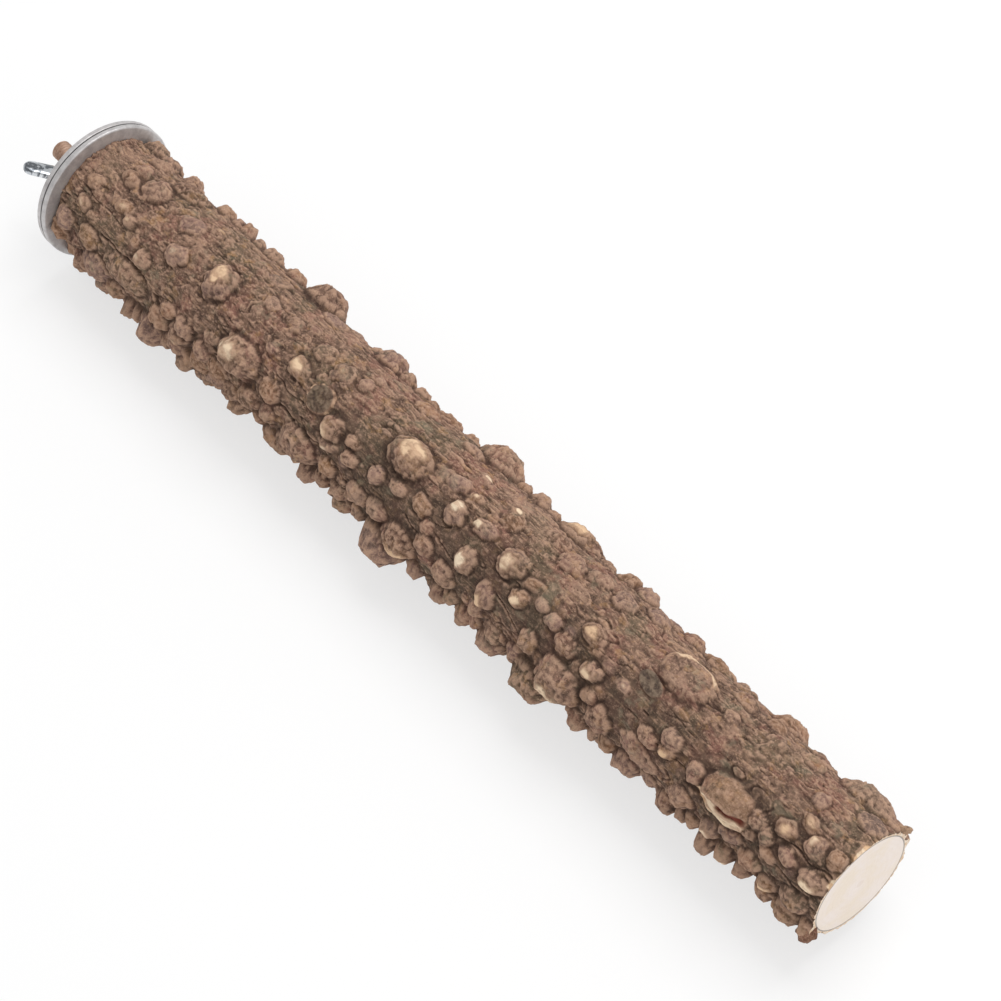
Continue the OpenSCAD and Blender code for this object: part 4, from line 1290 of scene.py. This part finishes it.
# %% Bolt sizes
BOLT_RADIUS = 3.0 * MM
PITCH = 1.0 * MM
THREAD_DEPTH = 0.45 * MM
TIP_RADIUS = 4.0 * MM
NECK_END = LOG_START + 6.0 * MM
SCREW_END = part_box("hanger_bolt")[1][0]
SCREW_RADIUS = 2.3 * MM
SCREW_POINT = 7.0 * MM
SCREW_PITCH = 2.2 * MM
# Each thread grows from nothing between two places, and the machine thread fades out between two more.
THREAD_STARTS = BOLT_TIP + 0.8 * MM
THREAD_FULL = BOLT_TIP + 2.2 * MM
THREAD_FADES = NECK_END - 3.0 * MM
THREAD_GONE = NECK_END - 1.0 * MM
SCREW_STARTS = NECK_END + 1.0 * MM
SCREW_FULL = NECK_END + 2.0 * MM
RING_STEP = 0.1 * MM
BOLT_COLUMNS = 96
DOME_RINGS = 12


def thread_cut(x, turn, pitch):
    """0 on the crest and 1 at the root of a V thread: x over the pitch plus the turn, folded and clipped."""
    phase = (x / pitch + turn / math.tau) % 1.0
    return np.clip(np.abs(2 * phase - 1) * 1.3 - 0.1, 0, 1)


print("bolt", round((SCREW_END - BOLT_TIP) / MM), "mm long")


# %% Hanger bolt
def bolt_surface():
    """Radius along the bolt: dome, machine thread, plain neck, wood screw and point, closed at both ends."""
    tip_rise = TIP_RADIUS - math.sqrt(TIP_RADIUS**2 - BOLT_RADIUS**2)
    dome = BOLT_TIP + tip_rise * np.linspace(0, 1, DOME_RINGS) ** 2
    shaft = np.arange(dome[-1] + RING_STEP / 2, SCREW_END - RING_STEP / 2, RING_STEP)
    x = np.concatenate([dome, shaft, [SCREW_END]])[:, None]
    turn = np.linspace(0, math.tau, BOLT_COLUMNS, endpoint=False)[None, :]
    ball = np.sqrt(np.clip(TIP_RADIUS**2 - (x - BOLT_TIP - TIP_RADIUS) ** 2, 0, None))
    body = np.where(x < dome[-1], np.minimum(ball, BOLT_RADIUS), BOLT_RADIUS)
    run_in = ramp(x, THREAD_STARTS, THREAD_FULL)
    run_out = ramp(x, THREAD_GONE, THREAD_FADES)
    machine = body - THREAD_DEPTH * run_in * run_out * thread_cut(x, turn, PITCH)
    taper = np.clip((SCREW_END - x) / SCREW_POINT, 0, 1)
    grip = ramp(x, SCREW_STARTS, SCREW_FULL)
    wood = SCREW_RADIUS * taper - THREAD_DEPTH * grip * taper * thread_cut(x, turn, SCREW_PITCH)
    radius = np.where(x < NECK_END, machine, wood)
    radius = np.where((x <= BOLT_TIP) | (x >= SCREW_END), 0.0, radius)
    points = np.stack([x + 0 * turn, -radius * np.sin(turn), radius * np.cos(turn)], axis=-1)
    return points.reshape(-1, 3), grid_faces(len(x), BOLT_COLUMNS, True)


def bolt_material():
    """A dull yellow brown film over steel, cloudy, with specks of grime."""
    finish = Finish("yellow_passivated_steel")
    tarnish = finish.noise(finish.place, 420.0, 4.0, 0.6)
    grime = finish.noise(finish.place, 1800.0, 2.0, 0.6)
    colour = finish.blend(tarnish.step(0.35, 0.65), paint("#a27f6a"), paint("#c4a48f"))
    colour = finish.blend(grime.step(0.55, 0.75) * 0.5, colour, paint("#7b675b"))
    rough = 0.42 + 0.2 * grime
    bump = finish.bump(grime, 0.15, 0.0001)
    return finish.surface(Base_Color=colour, Metallic=0.35, Roughness=rough, Normal=bump)


def make_bolt():
    points, faces = bolt_surface()
    bolt = add_mesh("threaded_hanger_bolt", points, faces, True)
    bolt.data.materials.append(bolt_material())
    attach(bolt, "log")
    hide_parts("hanger_bolt")
    return bolt


print(make_bolt().name, "made")

# %% [markdown]
# The wing nut is a bright zinc casting: a tapered hub and two wings that flare up and out to round tips.
# Castings have no sharp edges, so each wing is a rounded section carried along its middle line, thick at
# the root, thin at the tip and closed by a dome, and the hub is a turned profile with soft edges round a
# threaded bore.

# %% Wing nut sizes
SEAT_X = -WASHER_THICKNESS
NUT_TOP_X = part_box("wing_nut")[0][0]
NUT_HEIGHT = SEAT_X - NUT_TOP_X
NUT_SPAN = 33.0 * MM
NUT_BORE = 3.07 * MM
NUT_THREAD_DEPTH = 0.3 * MM
HUB_HEIGHT = 8.4 * MM
HUB_SEAT_RADIUS = 6.2 * MM
HUB_TOP_RADIUS = 5.2 * MM
HUB_ROLL = 0.5 * MM
HUB_COLUMNS = 128
ROLL_POINTS = 7
BORE_MOUTH = 0.5 * MM
WING_ANGLE = math.radians(69)
WING_ROOT = (3.9 * MM, 4.7 * MM)
WING_TIP_RADIUS = 2.8 * MM
WING_THICKNESS = 2.5 * MM
WING_ROOT_HALF = 2.9 * MM
ROOT_FLARE = 0.9
FLARE_FULL = 0.5 * MM
FLARE_END = 4.5 * MM
WING_ROWS = 72
WING_COLUMNS = 48
TIP_CROWDING = 1.6
# Powers of the section's cosine and sine: 1 would make an oval, and less makes it boxier.
BOXY_WIDE = 0.8
BOXY_THICK = 0.6


def place_on_nut(out, side, up):
    """Places in the frame from distances out along a wing, to its side, and up the nut, which is -X."""
    away = np.array([0.0, -math.sin(WING_ANGLE), math.cos(WING_ANGLE)])
    across = np.array([0.0, math.cos(WING_ANGLE), math.sin(WING_ANGLE)])
    axis = np.array([-1.0, 0.0, 0.0])
    foot = np.array([SEAT_X, 0.0, 0.0])
    return foot + out[..., None] * away + side[..., None] * across + up[..., None] * axis


print("nut", round(NUT_HEIGHT / MM, 1), "mm high")


# %% Hub
def hub_section():
    """Radius and height once round the hub's closed section: rolled outside, flat top, bore and seat."""
    sweep = np.linspace(0, math.pi / 2, ROLL_POINTS)
    low_radius = HUB_SEAT_RADIUS - HUB_ROLL
    top_radius = HUB_TOP_RADIUS - HUB_ROLL
    top_height = HUB_HEIGHT - HUB_ROLL
    low = [(low_radius + HUB_ROLL * math.sin(t), HUB_ROLL - HUB_ROLL * math.cos(t)) for t in sweep]
    top = [(top_radius + HUB_ROLL * math.cos(t), top_height + HUB_ROLL * math.sin(t)) for t in sweep]
    mouth = [(NUT_BORE + BORE_MOUTH, HUB_HEIGHT), (NUT_BORE, HUB_HEIGHT - BORE_MOUTH)]
    first_ring = HUB_HEIGHT - BORE_MOUTH - RING_STEP
    bore = [(NUT_BORE, up) for up in np.arange(first_ring, BORE_MOUTH, -RING_STEP)]
    base = [(NUT_BORE, BORE_MOUTH), (NUT_BORE + BORE_MOUTH, 0.0)]
    return np.array(low + top + mouth + bore + base + [low[0]])


def hub_mesh():
    """The section turned round the axis, with a thread in the bore that mates with the bolt's."""
    section = hub_section()
    turn = np.linspace(0, math.tau, HUB_COLUMNS, endpoint=False)[None, :]
    out = section[:, :1] + 0 * turn
    up = section[:, 1:] + 0 * turn
    margin = BORE_MOUTH + RING_STEP / 2
    inside = (out < NUT_BORE + 0.01 * MM) & (up > margin) & (up < HUB_HEIGHT - margin)
    out = out + np.where(inside, NUT_THREAD_DEPTH * thread_cut(SEAT_X - up, -turn, PITCH), 0)
    points = place_on_nut(out * np.cos(turn), out * np.sin(turn), up)
    return points.reshape(-1, 3), grid_faces(len(section), HUB_COLUMNS, True)[:, ::-1]


print("hub section has", len(hub_section()), "points")


# %% Wings
def wing_mesh(mirror):
    """A rounded section carried from inside the hub to the tip: s is along the wing, t round its section."""
    s = np.linspace(0, 1, WING_ROWS)[:, None]
    t = np.linspace(0, math.tau, WING_COLUMNS, endpoint=False)[None, :]
    root = np.array(WING_ROOT)
    tip = np.array([NUT_SPAN / 2, NUT_HEIGHT]) - WING_TIP_RADIUS
    reach = tip - root
    straight = np.hypot(*reach)
    forward = reach / straight
    normal = np.array([-forward[1], forward[0]])
    run = 1 - (1 - s) ** TIP_CROWDING
    travelled = run * (straight + WING_TIP_RADIUS)
    past = np.clip((travelled - straight) / WING_TIP_RADIUS, 0, 1)
    swell = WING_ROOT_HALF + (WING_TIP_RADIUS - WING_ROOT_HALF) * ramp(run, 0.1, 0.8)
    half_width = np.where(past > 0, WING_TIP_RADIUS * np.sqrt(np.clip(1 - past**2, 0, 1)), swell)
    flare = 1 + ROOT_FLARE * ramp(travelled, FLARE_END, FLARE_FULL)
    half_thick = WING_THICKNESS / 2 * flare * np.sqrt(np.clip(1 - past**4, 0, 1))
    wide = np.sign(np.cos(t)) * np.abs(np.cos(t)) ** BOXY_WIDE
    thick = np.sign(np.sin(t)) * np.abs(np.sin(t)) ** BOXY_THICK
    out = root[0] + forward[0] * travelled + normal[0] * wide * half_width
    up = root[1] + forward[1] * travelled + normal[1] * wide * half_width
    flip = -1.0 if mirror else 1.0
    points = place_on_nut(flip * out, flip * thick * half_thick, up)
    return points.reshape(-1, 3), grid_faces(s.size, t.size, True)


print("points of a wing:", len(wing_mesh(False)[0]))


# %% Wing nut
def nut_material():
    """Bright zinc, a little cloudy, with dark blotches painted on as the reflection of a room, over an uneven
    casting.
    """
    finish = Finish("bright_zinc")
    cast = finish.noise(finish.place, 900.0, 3.0, 0.6)
    cloud = finish.noise(finish.place, 220.0, 3.0, 0.6)
    reflection_blotch = finish.noise(finish.place, 330.0, 2.0, 0.5, 1.5)
    colour = finish.blend(cloud.step(0.35, 0.7), paint("#e6e9ec"), paint("#c7ccd1"))
    # Painted reflection: dark blotches stand for a room mirrored in the zinc.
    colour = finish.blend(reflection_blotch.step(0.52, 0.62) * 0.8, colour, paint("#4b5057"))
    rough = 0.16 + 0.16 * cloud
    bump = finish.bump(cast, 0.12, 0.0002)
    return finish.surface(Base_Color=colour, Metallic=1.0, Roughness=rough, Normal=bump)


def make_nut():
    zinc = nut_material()
    made = []
    for name, (points, faces) in {
        "wing_nut_hub": hub_mesh(),
        "wing_nut_wing_a": wing_mesh(False),
        "wing_nut_wing_b": wing_mesh(True),
    }.items():
        piece = add_mesh(name, points, faces, True)
        piece.data.materials.append(zinc)
        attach(piece, "wing_nut")
        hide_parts("wing_nut")
        made.append(piece.name)
    return made


print(make_nut())
